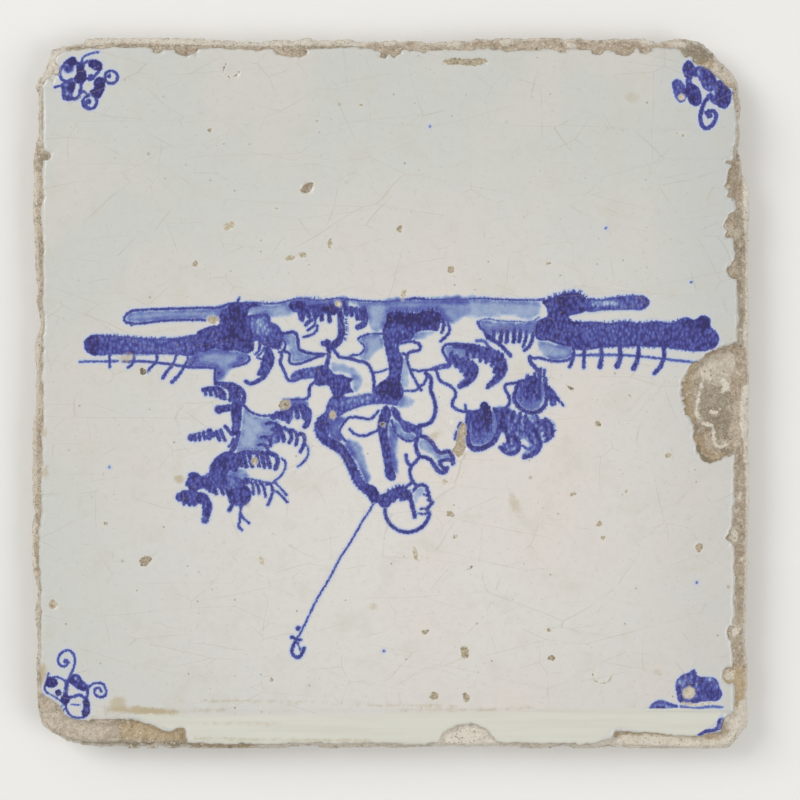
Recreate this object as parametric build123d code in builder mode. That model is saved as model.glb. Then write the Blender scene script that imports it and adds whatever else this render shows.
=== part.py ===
from build123d import *
import os

# Hand-made wall tile: one slab of soft earthenware with a tin-glazed face.
# Frame: +Z out of the glazed face, back face on Z = 0, origin under the middle.
# All sizes are millimetres.

# Slab
TILE_SIDE = 130.0
THICKNESS = 8.0
# How far below the glazed face the slab is widest: the arris above it is worn away
ARRIS_DROP = 1.8
# The sides were cut with a slanted knife, so the back is this much smaller all round
UNDERCUT = 1.2

# Flakes broken from the face: depth of the floor and slant of the broken wall
SIDE_FLAKE_DEPTH = 1.1
CORNER_FLAKE_DEPTH = 0.9
FOOT_FLAKE_DEPTH = 0.6
FLAKE_SLANT = 40.0

# Shallow ledge along the foot edge, where the face was made good
LEDGE_HEIGHT = 7.1
LEDGE_LENGTH = 108.0
LEDGE_DROP = 0.15
LEDGE_END = 0.96

# Long chip close under the top edge
LONG_CHIP_LENGTH = 8.4
LONG_CHIP_WIDTH = 1.3
LONG_CHIP_DEPTH = 0.45
LONG_CHIP_PLACE = (0.208, 0.926)

# The broken edge, clockwise from the top left. Each point: its place along the side
# as a share of half the side, how far the edge wanders outwards from true, and how
# far the glazed face stops short of the edge there.
TOP_EDGE = [
    (-0.948, -2.5, 1.5),
    (-0.912, -1.8, 1.0),
    (-0.874, -2.0, 0.7),
    (-0.849, -0.8, 1.5),
    (-0.815, -0.4, 1.7),
    (-0.762, -0.1, 2.0),
    (-0.700, -0.1, 2.0),
    (-0.646, -0.2, 2.0),
    (-0.585, -0.3, 2.3),
    (-0.523, -0.6, 1.6),
    (-0.462, -0.7, 1.4),
    (-0.369, -1.1, 1.2),
    (-0.315, -0.7, 1.6),
    (-0.274, -1.0, 2.4),
    (-0.238, -0.3, 2.0),
    (-0.194, -1.0, 1.4),
    (-0.115, -0.6, 1.7),
    (-0.065, -1.3, 1.2),
    (-0.006, -0.9, 2.5),
    (0.055, -1.1, 1.5),
    (0.123, -1.3, 1.5),
    (0.185, -0.9, 2.0),
    (0.277, -0.7, 2.1),
    (0.323, -0.4, 2.7),
    (0.385, -0.6, 2.6),
    (0.454, -0.3, 2.6),
    (0.538, -0.6, 2.2),
    (0.585, -0.7, 2.5),
    (0.658, -0.6, 2.7),
    (0.708, -0.5, 2.1),
    (0.749, -1.1, 1.5),
    (0.785, -0.7, 1.9),
    (0.831, -0.8, 2.2),
    (0.868, -1.1, 3.0),
    (0.898, -2.6, 3.2),
    (0.926, -5.0, 2.6),
    (0.957, -6.8, 2.2),
]
RIGHT_EDGE = [
    (0.862, -1.8, 1.2),
    (0.800, -1.7, 0.6),
    (0.731, -1.7, 0.4),
    (0.671, -1.7, 0.7),
    (0.625, -1.2, 1.7),
    (0.582, -0.4, 3.0),
    (0.546, 0.1, 3.0),
    (0.508, 0.4, 3.0),
    (0.455, 0.0, 3.2),
    (0.400, 0.1, 2.8),
    (0.346, 0.1, 2.3),
    (0.231, 0.1, 2.2),
    (0.138, 0.1, 2.4),
    (0.023, 0.5, 2.8),
    (-0.031, 0.3, 2.8),
    (-0.154, 0.1, 2.6),
    (-0.231, 0.3, 3.1),
    (-0.308, 0.3, 3.2),
    (-0.385, 0.0, 3.3),
    (-0.446, 0.0, 2.8),
    (-0.538, -0.2, 2.5),
    (-0.615, -0.4, 2.3),
    (-0.680, -0.3, 2.9),
    (-0.746, -0.2, 2.8),
    (-0.815, -0.2, 2.6),
    (-0.877, -0.1, 2.7),
    (-0.932, -0.2, 2.2),
    (-0.963, -1.6, 1.8),
]
FOOT_EDGE = [
    (0.951, -0.7, 1.4),
    (0.923, -0.1, 1.2),
    (0.895, -0.4, 1.0),
    (0.838, -0.1, 1.0),
    (0.769, -0.3, 1.0),
    (0.692, -0.5, 0.9),
    (0.631, -0.7, 0.8),
    (0.585, -0.5, 0.9),
    (0.531, -0.1, 1.0),
    (0.482, -0.9, 0.5),
    (0.438, -0.5, 0.8),
    (0.369, -0.6, 0.8),
    (0.262, -0.7, 0.7),
    (0.154, -0.8, 0.6),
    (0.077, -0.5, 0.8),
    (-0.046, -0.7, 0.7),
    (-0.123, -0.7, 0.7),
    (-0.163, -0.3, 0.9),
    (-0.208, -0.7, 0.7),
    (-0.269, -0.9, 0.6),
    (-0.300, -0.4, 0.8),
    (-0.392, -0.2, 1.0),
    (-0.492, -0.2, 1.1),
    (-0.562, -0.4, 1.1),
    (-0.615, -0.6, 1.0),
    (-0.658, -1.1, 0.8),
    (-0.700, -0.6, 1.1),
    (-0.769, -0.9, 1.0),
    (-0.854, -1.0, 1.0),
    (-0.902, -1.7, 1.0),
    (-0.938, -2.7, 1.0),
]
LEFT_EDGE = [
    (-0.929, -1.8, 1.1),
    (-0.902, -1.0, 1.1),
    (-0.865, -0.7, 0.9),
    (-0.769, -0.7, 0.7),
    (-0.658, -0.6, 0.8),
    (-0.628, -0.2, 1.2),
    (-0.563, -0.8, 0.7),
    (-0.515, -0.3, 1.2),
    (-0.469, 0.5, 1.9),
    (-0.418, 0.5, 1.9),
    (-0.377, 0.3, 1.8),
    (-0.335, -0.4, 1.5),
    (-0.277, 0.1, 1.9),
    (-0.185, 0.0, 1.9),
    (-0.100, 0.0, 1.9),
    (0.009, -0.6, 1.3),
    (0.069, -0.4, 1.5),
    (0.138, -0.3, 1.6),
    (0.191, -1.4, 0.6),
    (0.238, -0.9, 1.0),
    (0.308, -0.5, 1.5),
    (0.431, -0.2, 1.8),
    (0.531, 0.2, 2.1),
    (0.600, -0.1, 1.9),
    (0.652, 0.2, 2.4),
    (0.698, -0.7, 1.1),
    (0.738, -1.0, 0.9),
    (0.800, -0.8, 1.0),
    (0.837, -1.0, 0.9),
    (0.865, -0.5, 1.3),
    (0.886, -1.7, 0.8),
    (0.923, -2.4, 1.2),
]

# Flake outlines, from the share of half the side where each flake sits
SIDE_FLAKE_PLACE = (1.0, 0.0)
SIDE_FLAKE = [
    (-2.3, 9.4),
    (-3.8, 8.9),
    (-5.0, 8.5),
    (-7.0, 7.3),
    (-9.0, 6.1),
    (-10.5, 5.1),
    (-11.5, 3.6),
    (-12.1, 2.0),
    (-12.4, 0.0),
    (-12.0, -2.0),
    (-11.0, -4.5),
    (-10.1, -6.0),
    (-9.9, -8.5),
    (-9.0, -11.0),
    (-8.0, -12.5),
    (-6.8, -12.9),
    (-5.0, -12.3),
    (-3.0, -11.4),
    (-1.8, -10.2),
    (3.0, -9.6),
    (3.0, 9.8),
]
LEFT_CORNER_PLACE = (-1.0, -1.0)
LEFT_CORNER_FLAKE = [
    (0.4, 11.2),
    (1.8, 10.3),
    (3.8, 9.2),
    (5.1, 8.1),
    (5.8, 6.5),
    (7.8, 5.6),
    (10.4, 5.4),
    (13.0, 4.9),
    (15.6, 5.2),
    (17.6, 6.0),
    (19.2, 5.7),
    (22.4, 4.2),
    (24.8, 3.6),
    (26.6, 4.2),
    (27.7, 4.0),
    (28.2, 1.6),
    (28.4, -3.0),
    (-3.0, -3.0),
    (-3.0, 11.6),
]
RIGHT_CORNER_PLACE = (1.0, -1.0)
RIGHT_CORNER_FLAKE = [
    (-27.6, -3.0),
    (-27.1, 1.5),
    (-24.9, 2.6),
    (-24.2, 3.9),
    (-14.2, 3.1),
    (-8.7, 2.6),
    (-5.2, 3.6),
    (-3.6, 6.8),
    (3.0, 7.4),
    (3.0, -3.0),
]
FOOT_FLAKE_PLACE = (0.214, -1.0)
FOOT_FLAKE = [
    (-5.6, -3.0),
    (-5.4, 1.4),
    (-4.4, 3.4),
    (-1.8, 4.9),
    (1.2, 5.1),
    (3.9, 3.9),
    (5.4, 1.6),
    (5.8, -3.0),
]

# Round marks and pits in the face: place as shares of half the side, width, depth.
# The first two are the marks of the cutting template's nails.
PITS = [
    (-0.438, 0.900, 2.9, 0.20),
    (0.592, -0.786, 3.4, 0.25),
    (0.950, -0.790, 3.6, 0.50),
    (0.835, -0.840, 2.0, 0.40),
    (-0.234, 0.574, 2.6, 0.40),
    (0.186, -0.086, 2.6, 0.50),
    (0.204, -0.150, 2.2, 0.40),
]

os.makedirs("parts", exist_ok=True)

half_side = TILE_SIDE / 2
arris_height = THICKNESS - ARRIS_DROP


def edge_points():
    """The widest outline with the glaze's setback at each point."""
    top = [(s * half_side, half_side + out, back) for s, out, back in TOP_EDGE]
    right = [(half_side + out, s * half_side, back) for s, out, back in RIGHT_EDGE]
    foot = [(s * half_side, -half_side - out, back) for s, out, back in FOOT_EDGE]
    left = [(-half_side - out, s * half_side, back) for s, out, back in LEFT_EDGE]
    return top + right + foot + left


def moved_in(points, distances):
    """Each point moved towards the middle, square to the edge beside it."""
    moved = []
    for i, (x, y) in enumerate(points):
        before = Vector(*points[i - 1])
        after = Vector(*points[(i + 1) % len(points)])
        along = (after - before).normalized()
        moved.append((x + along.Y * distances[i], y - along.X * distances[i]))
    return moved


def flake(place, outline, depth):
    """A flat-floored break in the face, with slanting walls."""
    corner = (place[0] * half_side, place[1] * half_side)
    with BuildSketch(Plane.XY.offset(THICKNESS)) as broken:
        with Locations(corner):
            Polygon(*outline, align=None)
    extrude(broken.sketch, amount=-depth, taper=FLAKE_SLANT, mode=Mode.SUBTRACT)


def pit(place_x, place_y, width, depth):
    """A shallow round hollow, as a cap of a sphere."""
    radius = (width**2 / 4 + depth**2) / (2 * depth)
    centre = (place_x * half_side, place_y * half_side, THICKNESS - depth + radius)
    with Locations(centre):
        Sphere(radius, mode=Mode.SUBTRACT)


widest = edge_points()
rim = [(x, y) for x, y, setback in widest]
face = moved_in(rim, [setback for x, y, setback in widest])
back = moved_in(rim, [UNDERCUT] * len(rim))

with BuildPart() as tile:
    for height, outline in ((0, back), (arris_height, rim), (THICKNESS, face)):
        with BuildSketch(Plane.XY.offset(height)):
            with BuildLine():
                Polyline(*outline, close=True)
            make_face()
    loft(ruled=True)

    with BuildSketch(Plane.XY.offset(THICKNESS)):
        with Locations((LEDGE_END * half_side, -half_side + LEDGE_HEIGHT)):
            Rectangle(LEDGE_LENGTH, 2 * LEDGE_HEIGHT, align=(Align.MAX, Align.MAX))
    extrude(amount=-LEDGE_DROP, mode=Mode.SUBTRACT)

    flake(SIDE_FLAKE_PLACE, SIDE_FLAKE, SIDE_FLAKE_DEPTH)
    flake(LEFT_CORNER_PLACE, LEFT_CORNER_FLAKE, CORNER_FLAKE_DEPTH)
    flake(RIGHT_CORNER_PLACE, RIGHT_CORNER_FLAKE, CORNER_FLAKE_DEPTH)
    flake(FOOT_FLAKE_PLACE, FOOT_FLAKE, FOOT_FLAKE_DEPTH)

    with BuildSketch(Plane.XY.offset(THICKNESS)):
        with Locations((LONG_CHIP_PLACE[0] * half_side, LONG_CHIP_PLACE[1] * half_side)):
            SlotOverall(LONG_CHIP_LENGTH, LONG_CHIP_WIDTH)
    extrude(amount=-LONG_CHIP_DEPTH, taper=FLAKE_SLANT, mode=Mode.SUBTRACT)

    for mark in PITS:
        pit(*mark)

tile.part.label = "tile"
export_step(tile.part, "parts/tile.step")
box = tile.part.bounding_box()
print(f"tile {box.size.X:.2f} x {box.size.Y:.2f} x {box.size.Z:.2f}")
print(f"middle {box.center().X:.3f}, {box.center().Y:.3f}")
print(f"solids {len(tile.part.solids())}, volume {tile.part.volume / 1000:.2f} cm3")
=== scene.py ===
import math

import bpy
import numpy as np
from mathutils.bvhtree import BVHTree
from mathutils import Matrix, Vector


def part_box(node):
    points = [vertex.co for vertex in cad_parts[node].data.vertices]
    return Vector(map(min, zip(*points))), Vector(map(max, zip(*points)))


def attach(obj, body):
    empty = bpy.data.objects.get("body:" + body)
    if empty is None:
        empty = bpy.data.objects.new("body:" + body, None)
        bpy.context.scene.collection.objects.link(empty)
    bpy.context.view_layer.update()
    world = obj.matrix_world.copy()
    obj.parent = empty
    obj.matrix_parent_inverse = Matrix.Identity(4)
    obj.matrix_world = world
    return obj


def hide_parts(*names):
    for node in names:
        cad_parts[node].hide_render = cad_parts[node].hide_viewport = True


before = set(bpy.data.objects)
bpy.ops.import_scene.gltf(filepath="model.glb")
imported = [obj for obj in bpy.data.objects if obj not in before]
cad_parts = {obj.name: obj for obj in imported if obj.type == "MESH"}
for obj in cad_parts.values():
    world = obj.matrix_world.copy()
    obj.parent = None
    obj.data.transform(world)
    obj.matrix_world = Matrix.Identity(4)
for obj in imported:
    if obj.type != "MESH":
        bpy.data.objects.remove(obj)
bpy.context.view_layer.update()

# Old wall tile: tin glaze painted in blue, the clay that shows round it, and loose grit.
# Places and sizes are millimetres in the tile's frame: x right, y up, z out of the face.
MM = 0.001
low, high = [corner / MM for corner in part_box("tile")]
FACE = high.z

# The grid that every surface and stroke is worked out on
CELL = 0.2
COARSE = 32
HALF_GRID = COARSE * math.ceil(max(high.x, high.y) / (COARSE * CELL))
CELLS = 2 * HALF_GRID
axis = (np.arange(CELLS + 1) - HALF_GRID) * CELL
GRID_X, GRID_Y = np.meshgrid(axis, axis, indexing="ij")
WHOLE = slice(None)

# Glaze and clay
GLAZE_THICKNESS = 0.35
LOWEST_GLAZE = FACE - 0.3
GLAZE_FOOT = FACE - 0.85
EDGE_ROUNDING = 0.14
CHIP_DEPTH = 0.22
CRUMBS_PER_SQUARE_MM = 1.6
SMALLEST_CRUMB = 0.05
LARGEST_CRUMB = 0.21

# How far round a stroke its distance is worked out, and how finely a curve is followed
REACH = 1.2
CURVE_STEP = 0.35

# How far the clay and the crumbs stay inside the tile's own box
BOX_MARGIN = 0.01

# Strength of the blue, from the palest wash to the deepest pool
FAINT = 0.22
PALE = 0.34
MID = 0.58
DARK = 0.72
DEEP = 0.9

# Half widths of the brush
HAIR = 0.2
FINE = 0.27
FULL = 0.38
BROAD = 0.5


def eased(start, end, value):
    """0 up to start, 1 past end, smooth between."""
    share = np.clip((value - start) / (end - start), 0, 1)
    return share * share * (3 - 2 * share)


def rough(pitch, seed, pitch_y=None):
    """Smooth random relief from -1 to 1 over the grid, its bumps about pitch apart."""
    knots = np.random.default_rng(seed).uniform(-1, 1, (CELLS, CELLS))
    place_x = (axis - axis[0]) / pitch
    place_y = (axis - axis[0]) / (pitch_y or pitch)
    at_x, at_y = place_x.astype(int), place_y.astype(int)
    share_x = eased(0, 1, place_x - at_x)[:, None]
    share_y = eased(0, 1, place_y - at_y)
    rows = knots[at_x] * (1 - share_x) + knots[at_x + 1] * share_x
    return rows[:, at_y] * (1 - share_y) + rows[:, at_y + 1] * share_y


def roughened(field, *layers):
    """The field with random relief on it; each layer is a height, a pitch and a seed."""
    for height, *layer in layers:
        field = field + height * rough(*layer)
    return field


def neighbours(field, **padding):
    """The field as seen from the four points or cells beside each one."""
    wide = np.pad(field, 1, **padding)
    return wide[:-2, 1:-1], wide[2:, 1:-1], wide[1:-1, :-2], wide[1:-1, 2:]


def corners(field):
    """The field at the four corners of each cell."""
    return field[:-1, :-1], field[1:, :-1], field[:-1, 1:], field[1:, 1:]


def blurred(field, passes):
    """The field with each point averaged with its neighbours."""
    for _ in range(passes):
        field = (sum(neighbours(field, mode="edge")) + field) / 5
    return field


def near(x_low, y_low, x_high, y_high, margin):
    """The part of the grid in and round a box."""
    first_x = max(math.floor((x_low - margin) / CELL) + HALF_GRID, 0)
    first_y = max(math.floor((y_low - margin) / CELL) + HALF_GRID, 0)
    last_x = math.ceil((x_high + margin) / CELL) + HALF_GRID + 1
    last_y = math.ceil((y_high + margin) / CELL) + HALF_GRID + 1
    return slice(first_x, max(last_x, 0)), slice(first_y, max(last_y, 0))


class Coat:
    """A layer laid on the face: how deep each grid point is in it, and its strength there."""

    def __init__(self):
        self.inside = np.full(GRID_X.shape, -REACH)
        self.strength = np.zeros(GRID_X.shape)

    def lay(self, part, inside, strength):
        """Adds one shape. Where shapes overlap, the stronger one shows."""
        old_inside, old_strength = self.inside[part], self.strength[part]
        both = (inside > 0) & (old_inside > 0)
        nearer = np.where(inside > old_inside, strength, old_strength)
        self.strength[part] = np.where(both, np.maximum(old_strength, strength), nearer)
        self.inside[part] = np.maximum(inside, old_inside)


# Painting, wear of the glaze, weathering of the clay, and what the outline lost or gained
ink, wash = Coat(), Coat()
chip, stain, mended = Coat(), Coat(), Coat()
lime, ochre, soot = Coat(), Coat(), Coat()
lost, added = Coat(), Coat()
pools = np.zeros(GRID_X.shape)


def smooth(points, closed=False):
    """Evenly spaced points on a smooth curve through the given ones."""
    points = np.array(points, float).reshape(-1, 2)
    if closed:
        points = np.concatenate([points[-2:], points, points[:2]])
    chords = np.hypot(*np.diff(points, axis=0).T)
    run = np.concatenate([[0], np.cumsum(chords)])
    slopes = np.gradient(points, run, axis=0) if len(points) > 2 else np.diff(points, axis=0) / run[1]
    slopes = np.broadcast_to(slopes, points.shape)
    first, last = (run[2], run[-2]) if closed else (0, run[-1])
    samples = np.linspace(first, last, int((last - first) / CURVE_STEP) + 2)
    at = np.clip(np.searchsorted(run, samples, side="right") - 1, 0, len(run) - 2)
    gap = (run[at + 1] - run[at])[:, None]
    share = (samples - run[at])[:, None] / gap
    back = 1 - share
    return (
        (1 + 2 * share) * back**2 * points[at]
        + share * back**2 * gap * slopes[at]
        + share**2 * (3 - 2 * share) * points[at + 1]
        - share**2 * back * gap * slopes[at + 1]
    )


def off_segment(x, y, start, end):
    """Distance to a straight piece, and how far along it the nearest point is."""
    span = end - start
    along = ((x - start[0]) * span[0] + (y - start[1]) * span[1]) / max(span @ span, 1e-9)
    along = np.clip(along, 0, 1)
    return np.hypot(x - start[0] - along * span[0], y - start[1] - along * span[1]), along


def off_oval(part, x, y, wide, tall, turn=0):
    """How far out from an oval's middle a part of the grid lies, 1 on its edge; turn is in degrees."""
    cos, sin = math.cos(math.radians(turn)), math.sin(math.radians(turn))
    across = ((GRID_X[part] - x) * cos + (GRID_Y[part] - y) * sin) / wide
    up = ((GRID_Y[part] - y) * cos - (GRID_X[part] - x) * sin) / tall
    return np.hypot(across, up)


# Strokes: their points are written as x and y in turn
def line(*points, wide=FINE, tone=DARK, coat=ink):
    """A brush line through the points. wide is half its width, or one value for each end."""
    curve = smooth(points)
    start_wide, end_wide = wide if isinstance(wide, tuple) else (wide, wide)
    widths = np.linspace(start_wide, end_wide, len(curve))
    for k in range(len(curve) - 1):
        start, end = curve[k], curve[k + 1]
        lows, highs = np.minimum(start, end), np.maximum(start, end)
        part = near(*lows, *highs, REACH + max(widths[k], widths[k + 1]))
        distance, along = off_segment(GRID_X[part], GRID_Y[part], start, end)
        coat.lay(part, widths[k] + (widths[k + 1] - widths[k]) * along - distance, tone)


def spot(x, y, radius, tone=DARK, coat=ink):
    """A round touch of the brush."""
    part = near(x, y, x, y, radius + REACH)
    coat.lay(part, radius - np.hypot(GRID_X[part] - x, GRID_Y[part] - y), tone)


def oval(x, y, wide, tall, turn=0, tone=DARK, coat=ink):
    """A leaning oval; wide and tall are half its lengths, turn is in degrees."""
    part = near(x, y, x, y, max(wide, tall) + REACH)
    coat.lay(part, (1 - off_oval(part, x, y, wide, tall, turn)) * min(wide, tall), tone)


def fill(*points, tone=DARK, coat=ink):
    """A filled patch with a smooth outline through the points."""
    curve = smooth(points, closed=True)
    part = near(*curve.min(axis=0), *curve.max(axis=0), REACH)
    x, y = GRID_X[part], GRID_Y[part]
    nearest = np.full(x.shape, REACH)
    crossed = np.zeros(x.shape, bool)
    for start, end in zip(curve, np.roll(curve, -1, axis=0)):
        nearest = np.minimum(nearest, off_segment(x, y, start, end)[0])
        rise = end[1] - start[1]
        if rise:
            beside = x < start[0] + (y - start[1]) * (end[0] - start[0]) / rise
            crossed ^= ((start[1] > y) != (end[1] > y)) & beside
    coat.lay(part, np.where(crossed, nearest, -nearest), tone)


def shade(*points, tone=PALE):
    """A thin wash with a soft edge."""
    fill(*points, tone=tone, coat=wash)


def strokes(*each, wide=FINE, tone=DARK, coat=ink):
    """Several brush lines of one width and tone."""
    for points in each:
        line(*points, wide=wide, tone=tone, coat=coat)


def fringe(*points, side=1, length=0.4, pitch=0.55, wide=0.17, tone=DARK, seed=1):
    """Small uneven teeth along a curve, as a dry brush leaves them; side 1 is its left."""
    chance = np.random.default_rng(seed)
    curve = smooth(points)
    run = np.concatenate([[0], np.cumsum(np.hypot(*np.diff(curve, axis=0).T))])
    at = pitch / 2
    while at < run[-1]:
        k = min(int(np.searchsorted(run, at)), len(run) - 1)
        along = (curve[k] - curve[k - 1]) / (run[k] - run[k - 1])
        out = np.array([-along[1], along[0]]) * side
        tip = curve[k] + out * length * chance.uniform(0.4, 1.2) + along * chance.uniform(-0.12, 0.12)
        line(curve[k] - 0.1 * out, tip, wide=(wide, 0.6 * wide), tone=tone * chance.uniform(0.85, 1.1))
        at += pitch * chance.uniform(0.65, 1.35)


def pool(x, y, wide, tall, turn=0, deeper=0.2):
    """Makes the blue deeper, or thinner where deeper is negative, round a place."""
    part = near(x, y, x, y, 1.4 * max(wide, tall))
    pools[part] += deeper * eased(1.3, 0.3, off_oval(part, x, y, wide, tall, turn))


def spots(*places, radius=0.5, tone=DARK):
    """A row of round touches."""
    for x, y in np.reshape(places, (-1, 2)):
        spot(x, y, radius, tone)


def curl(x, y, radius, start, turns, end_radius, wide=HAIR, tone=DARK, coat=ink):
    """A spiral round a point, from one radius to another; start and turns are in degrees."""
    count = max(int(abs(turns) / 40), 4)
    angles = [math.radians(start + turns * k / count) for k in range(count + 1)]
    radii = [radius + (end_radius - radius) * k / count for k in range(count + 1)]
    points = [(x + r * math.cos(a), y + r * math.sin(a)) for a, r in zip(angles, radii)]
    line(*points, wide=wide, tone=tone, coat=coat)


def paint_ground():
    """The ground line with its thin washes, across the middle of the tile."""
    line(-26.5, 16.5, -24.5, 16.4, -22, 16.2, -20, 16.4, -18.5, 16.8, -16, 17.25, -14, 16.9, -11, 17,
         -9.5, 17.25, -7.5, 17, -5.5, 16.8, -1, 16.6, 4.7, 17.1, 6.3, 16.95, 8.5, 17, 12, 16.9, 16, 17.2,
         20, 17, 24, 16.9, 27.6, 16.9, wide=HAIR)
    line(3.4, 17, 4.6, 17.25, 6.2, 17.05)
    fringe(-24.5, 16.4, -20, 16.4, -16, 17.25, -11, 17, -7.5, 17, -5.5, 16.8, -1, 16.6, 4.7, 17.1, 8.5, 17,
           16, 17.2, 20, 17, 27, 16.9, length=0.3, pitch=0.7, wide=0.13, seed=11)
    shade(-26, 16.3, -22, 16, -18, 16.4, -17.4, 15, -18.4, 14.2, -21.5, 14, -24.5, 14.1, -25.8, 14.8)
    shade(-17.5, 16.9, -12, 16.9, -7.5, 16.9, -7.5, 15.6, -12, 15.4, -17, 15.4, tone=0.42)
    shade(-7.6, 16.8, -4, 16.6, 0, 16.5, 0.2, 14, -0.8, 11.6, -3, 11.4, -4.2, 13.3, -5.2, 15.2)
    shade(-1, 16.5, 5, 16.9, 9.5, 16.9, 9.3, 14.6, 4, 14.6, -0.6, 14.4, tone=0.4)
    shade(9, 16.9, 14, 16.9, 14.5, 15.2, 12.6, 13.4, 10.6, 12.6, 9.4, 13, tone=0.44)
    shade(13.5, 17, 20, 16.9, 25, 16.8, 27.2, 16.3, 27.1, 14.6, 26, 13.8, 22, 14.2, 17, 14, 13.6, 14.3)


def paint_left_bars():
    """The two long bars of ground at the left, with their roots."""
    shade(-47.7, 13.1, -48.1, 13.9, -46.9, 14.7, -43, 15, -38, 15.1, -33, 15.4, -29.6, 16, -30.4, 13.4,
          -34, 13.3, -40, 13.2, -46, 12.9, tone=0.36)
    line(-29.5, 16.2, -31, 15.6, -34, 15.5, -40, 15.3, -45, 15.1, -47.1, 14.85, -48, 14.3, -48.45, 13.55,
         -48.2, 12.95, -47.2, 12.7, -45, 12.7, -42.5, 13.05, -37, 13.3, -33.7, 13.3)
    spot(-47, 12.6, 0.42)
    fill(-55.6, 9.6, -54.6, 10.5, -52, 10.6, -48, 10.3, -44, 10, -39, 10.05, -34.6, 10.4, -34.8, 7.2,
         -40, 7, -46, 7, -51, 6.95, -54.2, 6.9, -55.5, 7.7, tone=0.63)
    pool(-54.3, 8.7, 1.5, 1.8, deeper=0.26)
    pool(-51.3, 8.8, 1.6, 1.2, deeper=0.08)
    fringe(-54.4, 10.3, -52, 10.5, -48, 10.2, -44, 9.9, -39, 9.95, -34.8, 10.3, length=0.28, seed=9)
    fringe(-54, 7.1, -50, 7.1, -46, 7.1, -40, 7.1, -35, 7.2, side=-1, length=0.22, seed=10)
    line(-56.5, 5.7, -53, 5.75, -49.6, 5.8, wide=0.24, tone=0.6)
    line(-48.6, 5.75, -44, 5.7, -42, 5.45, -40, 5.2, -38, 4.95, -36.5, 4.7, -33.5, 4.7, -32.2, 4.5,
         wide=0.28, tone=0.7)
    strokes((-51.1, 7, -51.1, 5.8, -51, 4.7), (-46.7, 6.9, -46.6, 6.1, -47, 5.2, -47.8, 4.6),
            (-42.5, 6.9, -42.4, 6.2, -43, 5.2, -43.9, 4.3, -44.3, 3.7), (-35.5, 6.5, -36, 5.5, -36.4, 4.9))
    strokes((-38.9, 7, -39.1, 6.2, -39.6, 5.2, -40.5, 4.1, -41.4, 2.8),
            (-36.8, 7, -36.9, 6.2, -37.5, 4.9, -38.4, 3.4, -39.7, 2), wide=(HAIR, FULL))


def paint_left_clump():
    """The dark clump of plants over the left bars, with its hooks."""
    fill(-35, 11.3, -33.8, 11.8, -32.5, 12.3, -31.2, 12.5, -31.3, 13.8, -30.8, 15, -29.8, 15.6, -29.4, 16.2,
         -26.5, 16.5, -24, 16.3, -23.4, 15.8, -25.5, 15.3, -26, 14, -26.7, 12.7, -25.6, 12, -24.8, 11,
         -24.8, 9.2, -24.9, 7.7, -25.9, 7.2, -28.4, 7.7, -30, 7.5, -31.8, 8, -34.6, 7.3, -35.4, 9.5)
    line(-27.8, 16.4, -27.5, 17.3)
    fill(-27, 13.2, -26, 14, -24.5, 14, -22.4, 14.2, -22, 13, -20.6, 11.9, -19.5, 9.9, -20.1, 8.2,
         -21.5, 8.4, -23.8, 9.5, -25.4, 9.4, -26.4, 11.4, tone=0.62)
    pool(-23.6, 12.1, 2.3, 1.7, -35, deeper=-0.26)
    pool(-28.2, 12, 2.6, 3, deeper=0.12)
    pool(-28.3, 15.4, 1.6, 1.2, deeper=0.12)
    line(-26, 13.9, -24.5, 14.1, -22.4, 14.2, -22, 13.5, -22.2, 12.9, -21.5, 12.6, -20.5, 11.9, -20, 11,
         -19.5, 9.7, -20.2, 9, -20.1, 8.2, -21.5, 8.4, -22.3, 8.6, -23.8, 9.5)
    spots(-21.4, 11.7, -20.9, 10.6, -21.2, 9.5, -22, 12.1, -22, 9.8)
    line(-23.8, 9.5, -23.8, 8.4, -24, 7.6, -24.6, 7.1)
    shade(-37, 5, -36.2, 7, -33.8, 8, -31.5, 8.2, -28.5, 7.6, -26, 7, -25.8, 6.2, -26.6, 5.4, -28.7, 4.6,
          -29.5, 3.6, -30.6, 2.4, -31.8, 2, -31.9, 4.4, -34, 4.7, tone=0.42)
    line(-31.9, 4.4, -31.9, 3, -31.9, 1.9, wide=0.3)
    spot(-31.2, 3.6, 0.4)
    spot(-27, 6.3, 0.35)
    line(-25.9, 6.7, -25.6, 6.2, -26, 5.6, -27, 5.2, -28.6, 4.8)
    line(-22.4, 8, -21.6, 6.8, -21.7, 5.4, -22.3, 4.2, -22.9, 3.2, wide=BROAD)
    fill(-23.1, 7, -22.4, 8, -21.4, 7.2, -21.4, 5.2, -22, 3.8, -23, 2.8, -23.9, 3.2, -23.4, 4.6, -23.5, 5.8)
    strokes((-23.1, 8.3, -23.4, 7.4, -24, 6.8), (-22.9, 7.9, -22.7, 7, -23.5, 6.2, -24.2, 6.4), wide=HAIR)
    line(-22.3, 6.6, -23, 5.7, -23.3, 4.6, -23.9, 3.5, wide=0.45)
    line(-22.9, 3, -24.5, 2, -25.6, 1.7, -26.3, 2.1, wide=0.4)


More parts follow.
